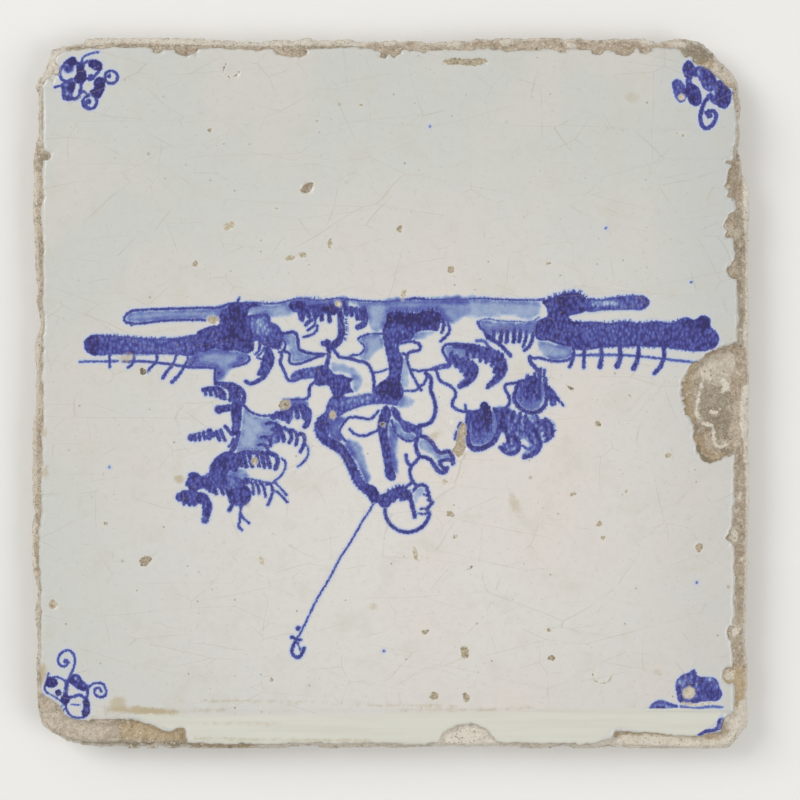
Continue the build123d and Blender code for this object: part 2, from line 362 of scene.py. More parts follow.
def paint_tree():
    """The leafy branch that hangs below the left bars."""
    shade(-26.5, -2.8, -25.2, -4, -21.9, -4.4, -20.5, -5, -20, -6, -22, -8, -22.5, -10, -24, -11,
          -27.5, -11.3, -28, -9, -27.2, -7, -27, -5, tone=0.32)
    shade(-29.5, -14, -27.8, -13.8, -26.5, -14, -26, -15.2, -27.5, -16, -28.3, -16.9, -29.5, -17)
    # Trunk and the arcs beside it
    line(-31.8, 1.8, -30, 1.6, -28.6, 1.5, -27.5, 0.9, -26.7, 0, -26.6, -1, -26.9, -2, wide=0.42)
    strokes((-30.3, 1.3, -29.4, 0.8, -29, -0.2, -29.2, -1.3), (-27.3, -1.8, -27.4, -3.4, -27.4, -5),
            wide=FULL)
    line(-28.9, 1.1, -28.1, 0.3, -28, -1, -28.2, -2.5, -28.2, -4, -28, -5.5, -28.2, -7, wide=0.8)
    line(-26.7, -2.2, -26, -3, -25, -3.7, -23, -4.2, -21, -3.9, wide=(0.3, HAIR))
    # First tuft
    line(-34, 0.6, -32.5, 0.8, -31, 0.7, -30.2, -0.3, wide=0.45)
    strokes((-33.8, 0.6, -33.6, -0.3), (-32.9, 0.7, -32.6, -0.4), (-32, 0.7, -31.6, -0.6),
            (-31.2, 0.5, -30.8, -0.9), (-30.4, 0.1, -30.1, -1.1), wide=0.33)
    # Second tuft
    spot(-31.2, -3, 0.82)
    line(-30.6, -2.9, -29.6, -2.7, -28.6, -2.6, wide=0.66)
    # Third tuft
    spot(-36.2, -8.1, 0.7)
    strokes((-34.8, -7.4, -34.7, -8.5), (-34, -7.2, -33.8, -8.3), (-31.6, -7, -31.1, -8.6),
            (-30.9, -6.8, -30.1, -8.6), (-30, -6.1, -28.8, -7.6), (-35.6, -7.6, -35.5, -8.6), wide=0.36)
    spots(-32.9, -7, -33, -8, -32.3, -7.6, radius=0.6)
    strokes((-28.6, -8.3, -28.9, -9.2, -29.4, -9.7), (-27.9, -8.5, -28, -9.4, -28.4, -10.2, -29, -10.8))
    line(-28.3, -7, -27.8, -7.8, -27.9, -8.6, wide=FULL)
    line(-27.5, -7.2, -28, -8.6, -28.7, -10, -29.1, -11, wide=0.4)
    # Fourth tuft, at the right
    line(-21.4, -4.4, -20, -3.9, -18.2, -2.9, -16, -2.4, -14.9, -3.4, -14.9, -4.6, -15.3, -5.8, wide=0.56)
    fill(-20.8, -4.6, -19.4, -3.6, -18.2, -3.2, -17.6, -4.4, -18.4, -5.3, -19.6, -5.1, tone=MID)
    shade(-19, -1.5, -15.4, -1.3, -14.9, -2.4, -18.2, -2.8, -20, -3.2, tone=0.42)
    spots(-20.5, -3.8, -19.5, -3.2, -18.5, -2.7, -17.4, -2.3, -19.3, -4.4, -18.2, -3.7, radius=0.6)
    strokes((-17.2, -2.3, -16.9, -4.4), (-16.3, -2.4, -15.6, -4.6), (-18.9, -4.2, -18.6, -5.2), wide=0.46)
    spot(-15.6, -6.1, 0.5)
    line(-15.9, -2.5, -15.1, -3.6, -15.2, -4.8, wide=FULL)
    line(-19.5, -1.3, -17, -1.2, -15.5, -1.1, -14.9, -0.7)
    fill(-22.9, -8.3, -21.6, -7.3, -20.3, -6.6, -19.9, -7.6, -20.3, -8.9, -21.6, -9.3, tone=0.5)
    # Leaves that arch to the right
    strokes((-22.7, -5.6, -21.5, -5.4, -20.5, -5.8, -19.8, -6.8, -19.3, -8.3),
            (-21.6, -6.5, -20.7, -7.3, -20.4, -8.6), (-20.9, -6.2, -19.9, -7.3, -19.5, -8.8),
            (-19.4, -6.3, -18.3, -7.1, -18, -8.2, -18.4, -9),
            (-18.5, -6.7, -17.3, -7.1, -17, -8, -17.2, -9.4),
            (-16.9, -7.6, -16.1, -7.4, -15.7, -8, -15.7, -9.2, -16.4, -10.7),
            (-23.5, -8, -22.5, -8, -21.8, -8.8, -21.8, -9.6),
            (-24, -9.4, -23, -9.4, -22.4, -10.2, -22.2, -11), wide=0.36)
    line(-16, -9.4, -15.2, -9.6, -15, -11.2, -15.7, -12.4, -16.8, -13.4, wide=0.22)
    # Leaves that hang in the middle
    line(-28.4, -11.6, -27, -10.9, -25, -10.8, -23, -10.9, -21.8, -11, -20.9, -11.4, -20.5, -12.4,
         -20.9, -13.7, wide=0.46)
    strokes((-27.6, -11.4, -27, -13.2), (-26.7, -11.4, -26.2, -13.4), (-25.7, -11.3, -25.1, -13.3),
            (-24.3, -11.5, -23.9, -13.2), (-23.4, -11.3, -22.9, -13.4), (-22.5, -11.3, -21.9, -13.4),
            wide=0.42)
    fill(-32.5, -14, -31.8, -12.4, -30.2, -11.3, -28.4, -11, -26.8, -11.7, -27.2, -13.3, -28.7, -14,
         -30.1, -14.4, -31.6, -15.4)
    strokes((-19.8, -11.9, -19.2, -12.4, -19.1, -13.4, -19.6, -14.6, -20.5, -15.6, -21.3, -16.2),
            (-20.9, -16.3, -20, -17.3, -18.9, -18.5), wide=0.22)
    line(-21.4, -17.6, -20.3, -18.2, -19.5, -19, -18.8, -19.8, wide=0.25)
    strokes((-25.3, -16.2, -25, -17, -24.9, -18.3), (-24.5, -16.2, -24.1, -17, -23.9, -18.3),
            (-23.7, -16.2, -23.1, -17, -22.7, -18.8),
            (-22.6, -16.6, -21.8, -16.6, -21.5, -17.5, -21.7, -19, -22.3, -20.3), wide=0.3)
    line(-26.6, -15.4, -24.6, -15.8, -22.8, -16.2, -21.2, -16.4, wide=0.22, tone=MID)
    # Dark heart of the lower foliage
    spot(-27.2, -16.5, 0.9)
    spot(-26.2, -16, 0.7)
    fill(-29.4, -17.4, -27.6, -17.2, -26, -16.9, -25.3, -18, -25.5, -19.6, -26.8, -20.6, -28.4, -20.4,
         -29.3, -19.2)
    line(-28.6, -20, -29.3, -21.3, wide=0.4)
    line(-27.1, -20.3, -27.3, -21.8, -27.4, -23.3, -27.6, -24.3, -27, -24.9, wide=0.25)
    line(-27.1, -22, -26.6, -22.9, -26, -23.4, -25.7, -23.7, wide=0.22)
    # Leaves at the left
    line(-28.4, -11.2, -29.8, -11, -31, -11.6, -32, -12.5, -32.5, -13.7, -32.6, -15, -32.4, -16.5,
         wide=FULL)
    spots(-29.5, -11.9, -28.7, -12.8, -29.7, -13, -30, -14.2, -28.3, -13.8, -30.9, -12.8, radius=0.66)
    line(-30.6, -14.5, -30.2, -15.8, -29.8, -17.2, -29.3, -18.6, -28.9, -19.8, wide=0.45)
    strokes((-31.6, -15.6, -30.4, -18.3), (-32.2, -16, -31.7, -18.3), (-33.3, -15.6, -32.8, -17.8),
            wide=FULL)
    line(-36.5, -14.9, -35.8, -14.7, -35, -15, -34.2, -15.8, -33.9, -17, wide=0.35)
    spots(-35.8, -16.2, -36, -17.5, -34.9, -16.8, radius=0.8)
    fill(-33.6, -14.8, -30, -14.6, -27, -15.6, -26.2, -18, -27.4, -19.2, -29.6, -17.8, -32, -17, tone=0.5)
    fill(-34.8, -15.5, -33.6, -14.9, -32.4, -15, -31.8, -16.6, -32, -18.4, -33.2, -17.9, -34.3, -17,
         tone=0.55)
    fill(-37.2, -17.9, -35, -17.9, -33.4, -18.4, -32.6, -20, -32.8, -22, -33.5, -23.8, -34.3, -23.6,
         -33.9, -21.8, -34.5, -20.2, -36, -20.3, -37.6, -19.9, tone=0.62)
    fill(-37.1, -15.9, -36, -14.8, -34.6, -15.2, -33.7, -16.6, -34.6, -17.5, -36.2, -18)
    fill(-38.6, -18.4, -36.8, -17.7, -35, -18.1, -34.5, -19.5, -36, -20.3, -37.9, -19.7)
    spot(-36.9, -16.5, 0.5)
    spot(-38.2, -18.9, 0.9)
    spot(-37.6, -18.2, 0.6)
    spot(-37.2, -19.3, 0.8)
    strokes((-37.4, -18.2, -37.5, -20.1), (-36.4, -18.4, -36.5, -20.3), (-35.5, -18.4, -35.6, -20.3),
            wide=0.4)
    line(-34.3, -18.6, -33.5, -19.4, -32.9, -20.3, -33, -21.5, -33.5, -22.6, -33.9, -23, wide=BROAD)
    line(-34.8, -19.3, -34, -20.6, -34.1, -22.2, wide=0.25)


def paint_hanging_leaves():
    """The combed leaves under the ground line, left of the figure."""
    fill(-18.5, 16.3, -17, 16.9, -15.5, 16.6, -15.1, 15.2, -15.5, 13.8, -16, 12.8, -16.7, 13.4, -16.9, 14.5,
         -17.8, 14.8, -18.5, 15.4)
    pool(-16.3, 15.9, 0.9, 0.7, deeper=0.24)
    pool(-17.9, 15.8, 0.6, 0.5, deeper=0.15)
    strokes((-15.1, 15.5, -14.8, 13.9), (-14.1, 15.6, -13.7, 13.7), (-13.3, 15.7, -13.2, 14.2), wide=0.44)
    line(-14.9, 15.6, -13, 15.8, -11, 15.9, -9.4, 15.7, wide=BROAD)
    line(-14.3, 13.3, -14.9, 12.9, -15.4, 12.4, wide=FULL)
    strokes((-13.7, 13.6, -13.8, 12.3, -14.5, 11.8, -15, 11.4),
            (-13.3, 12.2, -13.4, 11.4, -14.2, 10.7, -15.3, 10.3, -15.8, 10.2))
    strokes((-12.6, 15.6, -12.5, 13.4), (-11.2, 15.4, -11.1, 13.1), (-11.9, 15.5, -11.8, 14.8), wide=0.45)
    spots(-11, 15.1, -11.9, 15.3, -10.4, 14.8, radius=0.62, tone=DEEP)
    strokes((-8.6, 16.4, -8.1, 15.4, -8, 14.6), (-12.2, 9, -11.2, 8.8), wide=0.55)
    strokes((-7.2, 15.5, -7, 14.2), (-6.3, 15.4, -6, 13.5), (-5.5, 15.2, -5.2, 13.4), wide=0.42)
    line(-4.9, 15.4, -4.6, 14.3, -4.5, 13.3, -5, 12.4, -5.9, 12, wide=0.56)
    line(-9.4, 15.2, -9.1, 14, -9, 12.6, -8.9, 11, -9.2, 9.8, -9.9, 9, -10.6, 8.5, wide=(0.6, 0.72))
    spot(-11.5, 9, 0.75)
    line(-11.5, 9.4, -11.3, 8, -11.2, 7, -11.4, 5.9, -11.7, 4.8, wide=0.42)
    fringe(-8.1, 14.4, -8, 12.4, -8, 10.8, -8.5, 9.4, length=0.3, seed=5)


def paint_rocks():
    """The two outlined rocks that the figure's feet rest on."""
    shade(-19.8, 10.5, -18, 10.8, -17.3, 10.2, -17, 8.6, -16.2, 7.3, -13.5, 6.9, -16, 5.7, -17.9, 5.8,
          -18.2, 7.2, -18.7, 8.8, -19.8, 9.6)
    shade(-1.6, 10.6, -5, 10.3, -5.6, 9.8, -4.8, 8.6, -5, 7.3, -5.8, 6.8, -4.6, 6, -2.6, 7.4, -1.2, 8.6)
    line(-20.2, 10.9, -18.8, 10.9, -17.8, 11.1, -17.2, 10.8, -16.9, 10, -16.8, 8.8, -16.6, 8, -15.8, 7.5,
         -14.5, 7.2, -12.1, 7, wide=0.33)
    line(-20, 9.6, -19.3, 9.5, -19.1, 8.9, -19.3, 8, -19.7, 7.5)
    line(-20.2, 7.4, -19.4, 7.5, -18.7, 7.4, -18.3, 7, -18.4, 6.2, -18.3, 5.5, -17.6, 5.3, -15.2, 5.8,
         -14, 6.3, -12.1, 6.95, wide=0.28)
    line(-19.8, 7.3, -19.8, 6.5, -20.1, 5.6, -19.7, 4.7, -19.2, 3.7, -18.8, 2.6, -18.3, 2.2, -17.3, 2.3,
         -16.5, 2.7, wide=0.3)
    line(-1.4, 10.8, -3.8, 10.7, -5, 10.4, -5.8, 9.9, -5.5, 9.3, -4.9, 8.8, -4.8, 8, -5.2, 7.3, -5.8, 6.9,
         -6.7, 6.95, -7.4, 6.7, wide=0.22)


def paint_legs():
    """The figure's legs, up against the ground line."""
    fill(-18.2, 2.6, -17.6, 3.9, -16.5, 4.3, -15, 4.6, -13.4, 4.7, -13.4, 3, -15, 2.6, -16.8, 2.4, tone=MID)
    shade(-10.7, 5.2, -8, 5, -6.3, 4.2, -5.2, 3, -5.3, 1.5, -6.2, 0.3, -6.8, 1.5, -7.2, 3.2, -8.5, 3.8,
          -10.6, 4.2)
    fill(-13.7, 4.6, -12.4, 5.1, -11.3, 4.8, -10.7, 4, -10, 3.4, -8.7, 3.4, -7.8, 2.9, -6.6, 2.7, -7.3, 1.8,
         -7.1, 0.8, -6.7, 0.2, -8, -0.1, -8.8, -0.8, -9.6, -1.6, -10.6, -0.2, -11.2, 1.2, -13.6, 1.5,
         -13.9, 2.5)
    line(-10.6, 9, -10.4, 8, -9.8, 7.2, -9.2, 6.5, -8.2, 6.4, -7, 6.2, -5.8, 5.8, -4.7, 5.6, -3.9, 5,
         -3.5, 4.2, -3.1, 3, -3, 1.5, -3, 0.2, wide=0.33)
    line(-2.9, 3.7, -1.8, 3.9, -0.7, 4.3, wide=0.22)
    line(-13.9, 1.9, -14.5, 1.4, -14.8, 0.5, -14.8, -0.5, -15.3, -1.1, wide=0.3)
    # Right leg and the dark comb of leaves it meets
    fill(-0.6, 14.4, 1.2, 14.9, 3, 14.7, 5, 14.6, 6.4, 15, 8.4, 14.8, 9.2, 14.4, 9.3, 13.5, 9, 12.3,
         8.6, 11.3, 7, 11.4, 5.5, 11.2, 4.4, 10.6, 4.1, 9.9, 2, 9.3, 1.5, 8.5, 1.8, 7.3, 2.3, 6.4, 2.1, 4,
         1.9, 2, 2.4, 0.6, 2, -1.2, 0, -1.3, -2.4, -0.8, -3, 0, -2.3, 1.6, -1.2, 2.3, -0.5, 2.9, -0.4, 5.2,
         -0.9, 7.5, -1.3, 9.6, -1.5, 11.5, -0.9, 13.2)
    fringe(-0.8, 14.1, 1.2, 14.7, 3, 14.5, 5, 14.4, 6.4, 14.8, 8.4, 14.6, 9.2, 14.2, length=0.62, wide=0.22,
           tone=DEEP, seed=3)
    fill(-0.4, 14.5, 2.4, 14.7, 4.6, 14.4, 8.9, 14.5, 9, 13.4, 6, 13.2, 4, 12.8, 1.5, 13.4, -0.6, 13,
         tone=DEEP)
    shade(4.4, 10.9, 6.5, 11.3, 7.9, 10.9, 6.8, 10.4, 5.4, 9.8, 4, 9.9)
    shade(2.2, 6.4, 3, 6.2, 3.1, 3.4, 2.9, 1, 2.2, 0.9, tone=FAINT)
    line(1.9, 9, 3, 9.3, 4.3, 9.3, 5.2, 8.9, 5.5, 8.4, 5.2, 7.8, 4.2, 7.6, 3.3, 7.3, 3.1, 6.5, wide=0.3)
    line(2.3, 7.2, 2.6, 7, 3, 6.1, 3.3, 5, 3.8, 3.7, 4.4, 2.5, 5, 1.4, 5.6, 0.6, wide=0.28)
    line(2.2, 0.4, 3.5, 0.4, 4.8, 0.6, 5.2, 1.2, wide=0.24)
    line(5.1, 1.1, 6, 1.6, 6.5, 2.5, 6.6, 3.5)


def paint_coat():
    """The figure's coat: the belt of dark folds, the hem and the two long bands."""
    fill(-9.6, 0.3, -8.4, -0.6, -6, -0.4, -3.6, 0, -1.5, -0.8, 1.5, -1, 1.6, -1.9, -1.5, -2, -4, -2.2,
         -6.5, -2.9, -8.5, -3.8, -9.6, -4.7, -10.2, -5, -11, -7, -11.6, -8.6, -12.6, -8.8, -13.6, -7.6,
         -13.8, -6, -12.9, -4.2, -12, -3.5, -11.4, -1.6, -10.4, -0.4, tone=0.66)
    shade(1, -0.9, 3.4, -0.8, 4.4, -1.8, 3.6, -2.4, 1, -2.2)
    shade(-10.5, -4.9, -9.5, -4.2, -8.2, -4.5, -9.2, -6.5, -8.6, -8.4, -10.5, -8.6, -11.2, -5.5, tone=0.46)
    fill(-13.7, -7.2, -12, -7.4, -10.8, -8, -9.4, -8.8, -8.2, -9.8, -7, -11.6, -6.2, -13.2, -5.6, -14.6,
         -4.4, -16.4, -3.2, -16.8, -2, -18.3, -2, -19.8, -3.4, -20, -4.2, -18.8, -5.6, -17.6, -6.5, -16.5,
         -7.3, -15, -8, -13.4, -9.2, -11.3, -11, -10, -12.6, -9)
    pool(-3.3, -17.8, 1.3, 1.2, deeper=0.16)
    pool(-12.3, -5.2, 1.2, 1.4, deeper=0.14)
    pool(-5.4, -1.4, 4.2, 0.8, 8, deeper=-0.12)
    pool(-1.3, -0.5, 1.6, 0.7, deeper=-0.1)
    fringe(-12.9, -4.2, -13.8, -6, -13.6, -7.4, -12.6, -8.9, -11, -9.9, -9.2, -11.2, -8, -13.3, -7.3, -14.9,
           -6.5, -16.4, -5.6, -17.5, -4.2, -18.7, side=-1, length=0.14, seed=12)
    fringe(-10.8, -7.9, -9.4, -8.9, -8.1, -9.9, -6.9, -11.7, -6.1, -13.3, -5.5, -14.7, -4.3, -16.5,
           length=0.16, seed=13)
    shade(-8.3, -9.3, -7.8, -8.4, -6.5, -8.7, -5.4, -9.6, -5, -11, -4.6, -12.5, -4.2, -14, -3.6, -15.6,
          -4.2, -16.4, -5.2, -14.6, -6.2, -12.8, -7.4, -10.8, tone=0.42)
    strokes((-2.2, -3.3, -2.8, -4, -3.6, -4.7, -5, -4.6, -6.5, -4.4, -7.6, -4.5, -8.3, -5.2, -9, -6.3,
            -9.3, -7.1, -8.9, -7.9, -8.1, -8.8),
            (-7.4, -6.6, -6.8, -7.2, -5.9, -7.7, -4.6, -7.7, -3.4, -7.3, -2.5, -6.9))
    fill(-0.8, -2.2, -2, -4, -2.4, -5.8, -2.2, -7.5, -1.8, -9.5, -1.4, -11.5, -1.1, -13.5, -0.9, -15.2,
         -0.2, -15.9, 0.6, -15.9, 1, -15.2, 0.7, -14, 0.3, -12, 0.1, -10, -0.5, -7.5, -0.3, -5.5, 0.1, -4.2,
         -0.2, -2.6)
    shade(-0.2, -5.5, 0.9, -6.2, 1.3, -8, 1.1, -11, 1.1, -14.4, 0.4, -14.4, -0.3, -9, tone=0.42)
    fill(0.2, -2.5, 0.9, -2.6, 1.6, -3.4, 2.2, -4.8, 3.2, -5.2, 4.3, -5.7, 5.4, -6, 5.7, -7.6, 5.1, -8.2,
         4.2, -7.2, 3, -7.3, 2.1, -6.6, 1.6, -5.5, 0.6, -4.6, tone=0.64)
    shade(0.3, -4.8, 1.6, -5.6, 2.4, -7, 4, -7.3, 4.9, -8.1, 2.6, -8.4, 1.1, -7.3)
    line(0.2, -5, 0.6, -6.3, 1, -7.3, 1.8, -8, 2.8, -8.6, 3.9, -8.7, 4.6, -8.2)
    line(5.3, -5.9, 6.4, -5.8, 7.3, -5.3, 7.9, -4.3, 8.2, -3, 8.1, -1.8, 7.7, -0.5, 7.3, 0.5, 7.4, 2,
         7.3, 2.8, 6.4, 3.6, wide=FULL)


def curl_the_coat():
    """Curls of a fuller brush over the coat's darkest folds, with lighter gaps between them."""
    for x, y in (
        (0.6, 14.4), (2.6, 14.7), (4.5, 14.3), (6.3, 14.7), (8, 14.3), (0.4, 11.4), (2.2, 11), (0.8, 8.4),
    ):
        pool(x, y, 0.4, 1.1, deeper=-0.2)
    pool(-6, -1.2, 3.4, 1.2, 15, deeper=-0.18)
    for x, y, radius in (
        (-1.2, 1.4, 0.8), (0.2, 1.9, 0.7), (1.2, 0.9, 0.7), (-1.6, 0, 0.7), (-0.2, 0.4, 0.8), (1, -0.4, 0.7),
        (0.4, 13.3, 0.8), (2.2, 12.8, 0.8), (4, 13.2, 0.8), (5.8, 12.9, 0.7), (7.5, 13, 0.7),
    ):
        curl(x, y, radius, 40 * x, 300, 0.5 * radius, wide=0.24, tone=1)


def paint_arm():
    """The arm and hand at the right, with the collar."""
    shade(5.3, -8.6, 6.6, -8.5, 8, -10, 9.4, -11.3, 10.8, -11, 11, -12.3, 9, -12.2, 7.2, -11, 5.4, -10,
          tone=0.3)
    line(5.5, -7.8, 6.5, -8.1, 7.3, -8.8, 8, -9.8, 8.6, -10.7, 9.4, -10.9, 10.3, -10.6, 11, -10.9,
         11.3, -11.8, 11.4, -12.8, wide=0.42)
    line(8.9, -12.4, 9.6, -12.2, 10.5, -12.1, 11.2, -12.3, wide=0.36)
    strokes((9, -12.5, 9.2, -13.2, 9.9, -13.8), (4.9, -8.2, 4.6, -9.5, 4.9, -10.8, 5.3, -11.5, 6.4, -11.7,
            7.3, -12.2, 8, -13.2, 8.7, -14.2, 9.5, -14.5, 10.1, -14.2, 10.3, -13.6), wide=0.4)
    strokes((5.2, -11.7, 4.5, -12.6, 3.9, -13.2, 3.5, -14.3, 3.7, -15.3, 4.3, -16.4, 4.9, -16.9),
            (2.8, -11.3, 2.9, -12, 3.3, -12.9, 3.9, -13.2), wide=0.33)
    line(4.1, -16, 3.4, -16.7, 2.6, -17.2, wide=0.3)


# Head: the middle of the skull and its size; the head hangs downwards, looking right
HEAD = (3.1, -21.2)
HEAD_RADIUS = 4.1


def face_point(forward, up):
    """A point on the face from the skull's middle, in skull radii, chin upwards in the frame."""
    return HEAD[0] + forward * HEAD_RADIUS, HEAD[1] + up * HEAD_RADIUS


def paint_head():
    """Collar of hair, cap and a plain calm profile."""
    fill(-2, -18.6, -0.5, -18, 0.6, -17.3, 1.8, -16.8, 2.6, -17, 3.4, -17.8, 4, -18.6, 4, -19.6, 2.8, -19.5,
         1.7, -19.2, 0.6, -19.6, -0.4, -20.7, -1.2, -20.9, -2.2, -20.2)
    line(3.7, -19.4, 4, -20.6, 4.3, -21.8, 4.4, -22.5, wide=0.42)
    skull = [math.radians(angle) for angle in range(180, 345, 18)]
    line(*[face_point(math.cos(a), math.sin(a)) for a in skull], wide=0.36)
    profile = [(0.98, -0.2), (0.9, 0.06), (1.1, 0.34), (0.93, 0.44), (0.99, 0.55), (0.9, 0.64), (0.94, 0.74),
               (0.87, 0.84), (0.86, 0.98), (0.68, 1.1), (0.44, 1.04), (0.28, 0.86)]
    line(*[face_point(*point) for point in profile], wide=0.34)
    line(face_point(0.58, 0.02), face_point(0.7, 0.06), face_point(0.82, 0.02), wide=0.24)
    line(face_point(0.52, -0.16), face_point(0.7, -0.21), face_point(0.86, -0.15), wide=0.22)
    line(face_point(0.7, 0.67), face_point(0.84, 0.64), wide=HAIR)
    fringe(-0.8, -18.1, 0.6, -17.3, 1.8, -16.8, 2.8, -17.2, 3.7, -18.3, length=0.3, wide=0.24, seed=15)
    fringe(-1, -20.7, 0.4, -19.8, 1.6, -19.3, 2.8, -19.5, side=-1, length=0.25, wide=0.22, seed=16)
    shade(face_point(0.3, 0.8), face_point(0.62, 1.0), face_point(0.72, 0.9), face_point(0.5, 0.5),
          face_point(0.34, 0.3), tone=FAINT)


def paint_crook():
    """The shepherd's crook."""
    line(-3.1, -20.2, -4, -21.7, -5, -23.1, -6, -24.9, -7.2, -27, -8.3, -28.7, -9.3, -30.2, -10, -31.6,
         -11.2, -33.9, -12.6, -36.2, -13.6, -37.9, -14.6, -40, -15.3, -41.5, -16.6, -44, -17.2, -44.9,
         wide=HAIR)
    spot(-16.8, -42.8, 0.5)
    spot(-17.9, -44.4, 0.4)
    line(-17.9, -44.4, -17, -44.8, -16.3, -44.9, wide=0.3)
    line(-17.4, -45.3, -17.8, -46.2, -17.9, -47.2, -17.4, -47.9, -16.8, -48.1, -16.2, -47.6, -15.9, -46.9,
         -15.7, -46.4, wide=0.35)
    line(-16.9, -45.4, -16.4, -46.7, wide=HAIR)


def paint_bushes():
    """The two combed bushes right of the figure, and the line they grow from."""
    line(9.5, 13.5, 9.7, 12.4, wide=0.35)
    line(9.7, 12.6, 9.6, 11.8, 9.3, 11, wide=0.33)
    strokes((10.4, 12.7, 10.8, 11.6, 10.3, 10.5, 9.1, 9.4), (8.2, 4.2, 8.6, 3.4, 8.8, 2.5, 9.4, 2,
            10.4, 1.5, 11.3, 0.9, 11.8, 0.2, 11.8, -0.6, 11.3, -1.5, 11.2, -2.2, 11.9, -2.9, 13, -3.3,
            14.6, -3.4), wide=0.3)
    strokes((3.8, 4.3, 5, 4, 6.5, 4.2, 8, 4.3), (13.6, -2.2, 13.7, -3), wide=0.26)
    line(8, 4.4, 9.4, 4.8, 10.6, 5, wide=BROAD, tone=MID)
    shade(10.7, 5.4, 9.9, 7.2, 9.8, 8.2, 11.4, 8.7, 14, 8.2, 15, 6.4, 13.6, 5.6, 12.2, 5.4)
    line(10.7, 5.2, 10.6, 5.6, 10.2, 6.3, 9.7, 7.2, 9.5, 8, 10, 8.7, 11.2, 8.9, 13.5, 8.8, wide=0.3)
    line(12.2, 8.4, 14, 8.6, 15.2, 8.5, wide=BROAD)
    line(11.6, 8.5, 13.4, 8.35, 15.6, 8.05, 17.8, 7.3, 19.3, 6.3, wide=(0.45, 0.7))
    line(19.2, 6.4, 20.2, 5, 19.8, 3.5, 18.9, 2.4, 17.8, 1.3, wide=(0.7, 0.42))
    fill(10.6, 7.5, 12.2, 6.6, 13.8, 6, 15.1, 4.8, 15.4, 3.5, 14.4, 2.2, 13, 1.3, 12.5, 1.8, 13.5, 2.9,
         13.3, 3.9, 12, 4.5, 10.9, 5.7, tone=0.5)
    fill(13.6, 8.4, 16, 8.6, 18.4, 8.1, 20.3, 6.8, 21.3, 4.6, 20.4, 2.5, 18.1, 1.2, 18.3, 1.9, 19.4, 3.4,
         19, 4.6, 17.4, 5.8, 15, 6.6, tone=0.52)
    line(11, 6.8, 11.6, 6.1, 12.7, 5.9, 13.9, 5.2, 15, 4.1, 14.8, 2.9, 13.8, 1.9, 12.6, 1.2, wide=BROAD)
    strokes((13.7, 8.4, 14, 6.7), (15.1, 8.4, 15.1, 6.5), (16.8, 8.2, 16.3, 5.9), (17.8, 8, 17.4, 5.6),
            (18.9, 7.4, 18.4, 5), (16, 8.6, 15.7, 7.4), wide=0.36)
    line(15.6, 9.5, 17, 9.4, 18, 8.3, 19.2, 7.4, wide=0.3, tone=MID)
    strokes((19.6, 7.4, 19.4, 5.4, 18.9, 3.8), (20.3, 7, 20.3, 5, 19.5, 3.3), (12, 6.9, 12.2, 5.8, 12, 4.8),
            (13.2, 6.2, 13.2, 5.2, 12.9, 4), (14.2, 6.1, 14.2, 5, 13.6, 3.3), wide=FULL)
    strokes((20.6, 6, 20.9, 4.4, 20.2, 3.2, 19.3, 2.5, 18.4, 1.8, 17.7, 1.1),
            (11.2, 7.3, 11, 6.3, 10.9, 5.3), (14.8, 5.6, 15.6, 4.6, 15.3, 3, 14.5, 2.1, 13.4, 1.4,
            12.5, 1.1), wide=0.42)
    line(14.9, 4.6, 14.9, 3.4, 14.4, 2.4, wide=0.33)


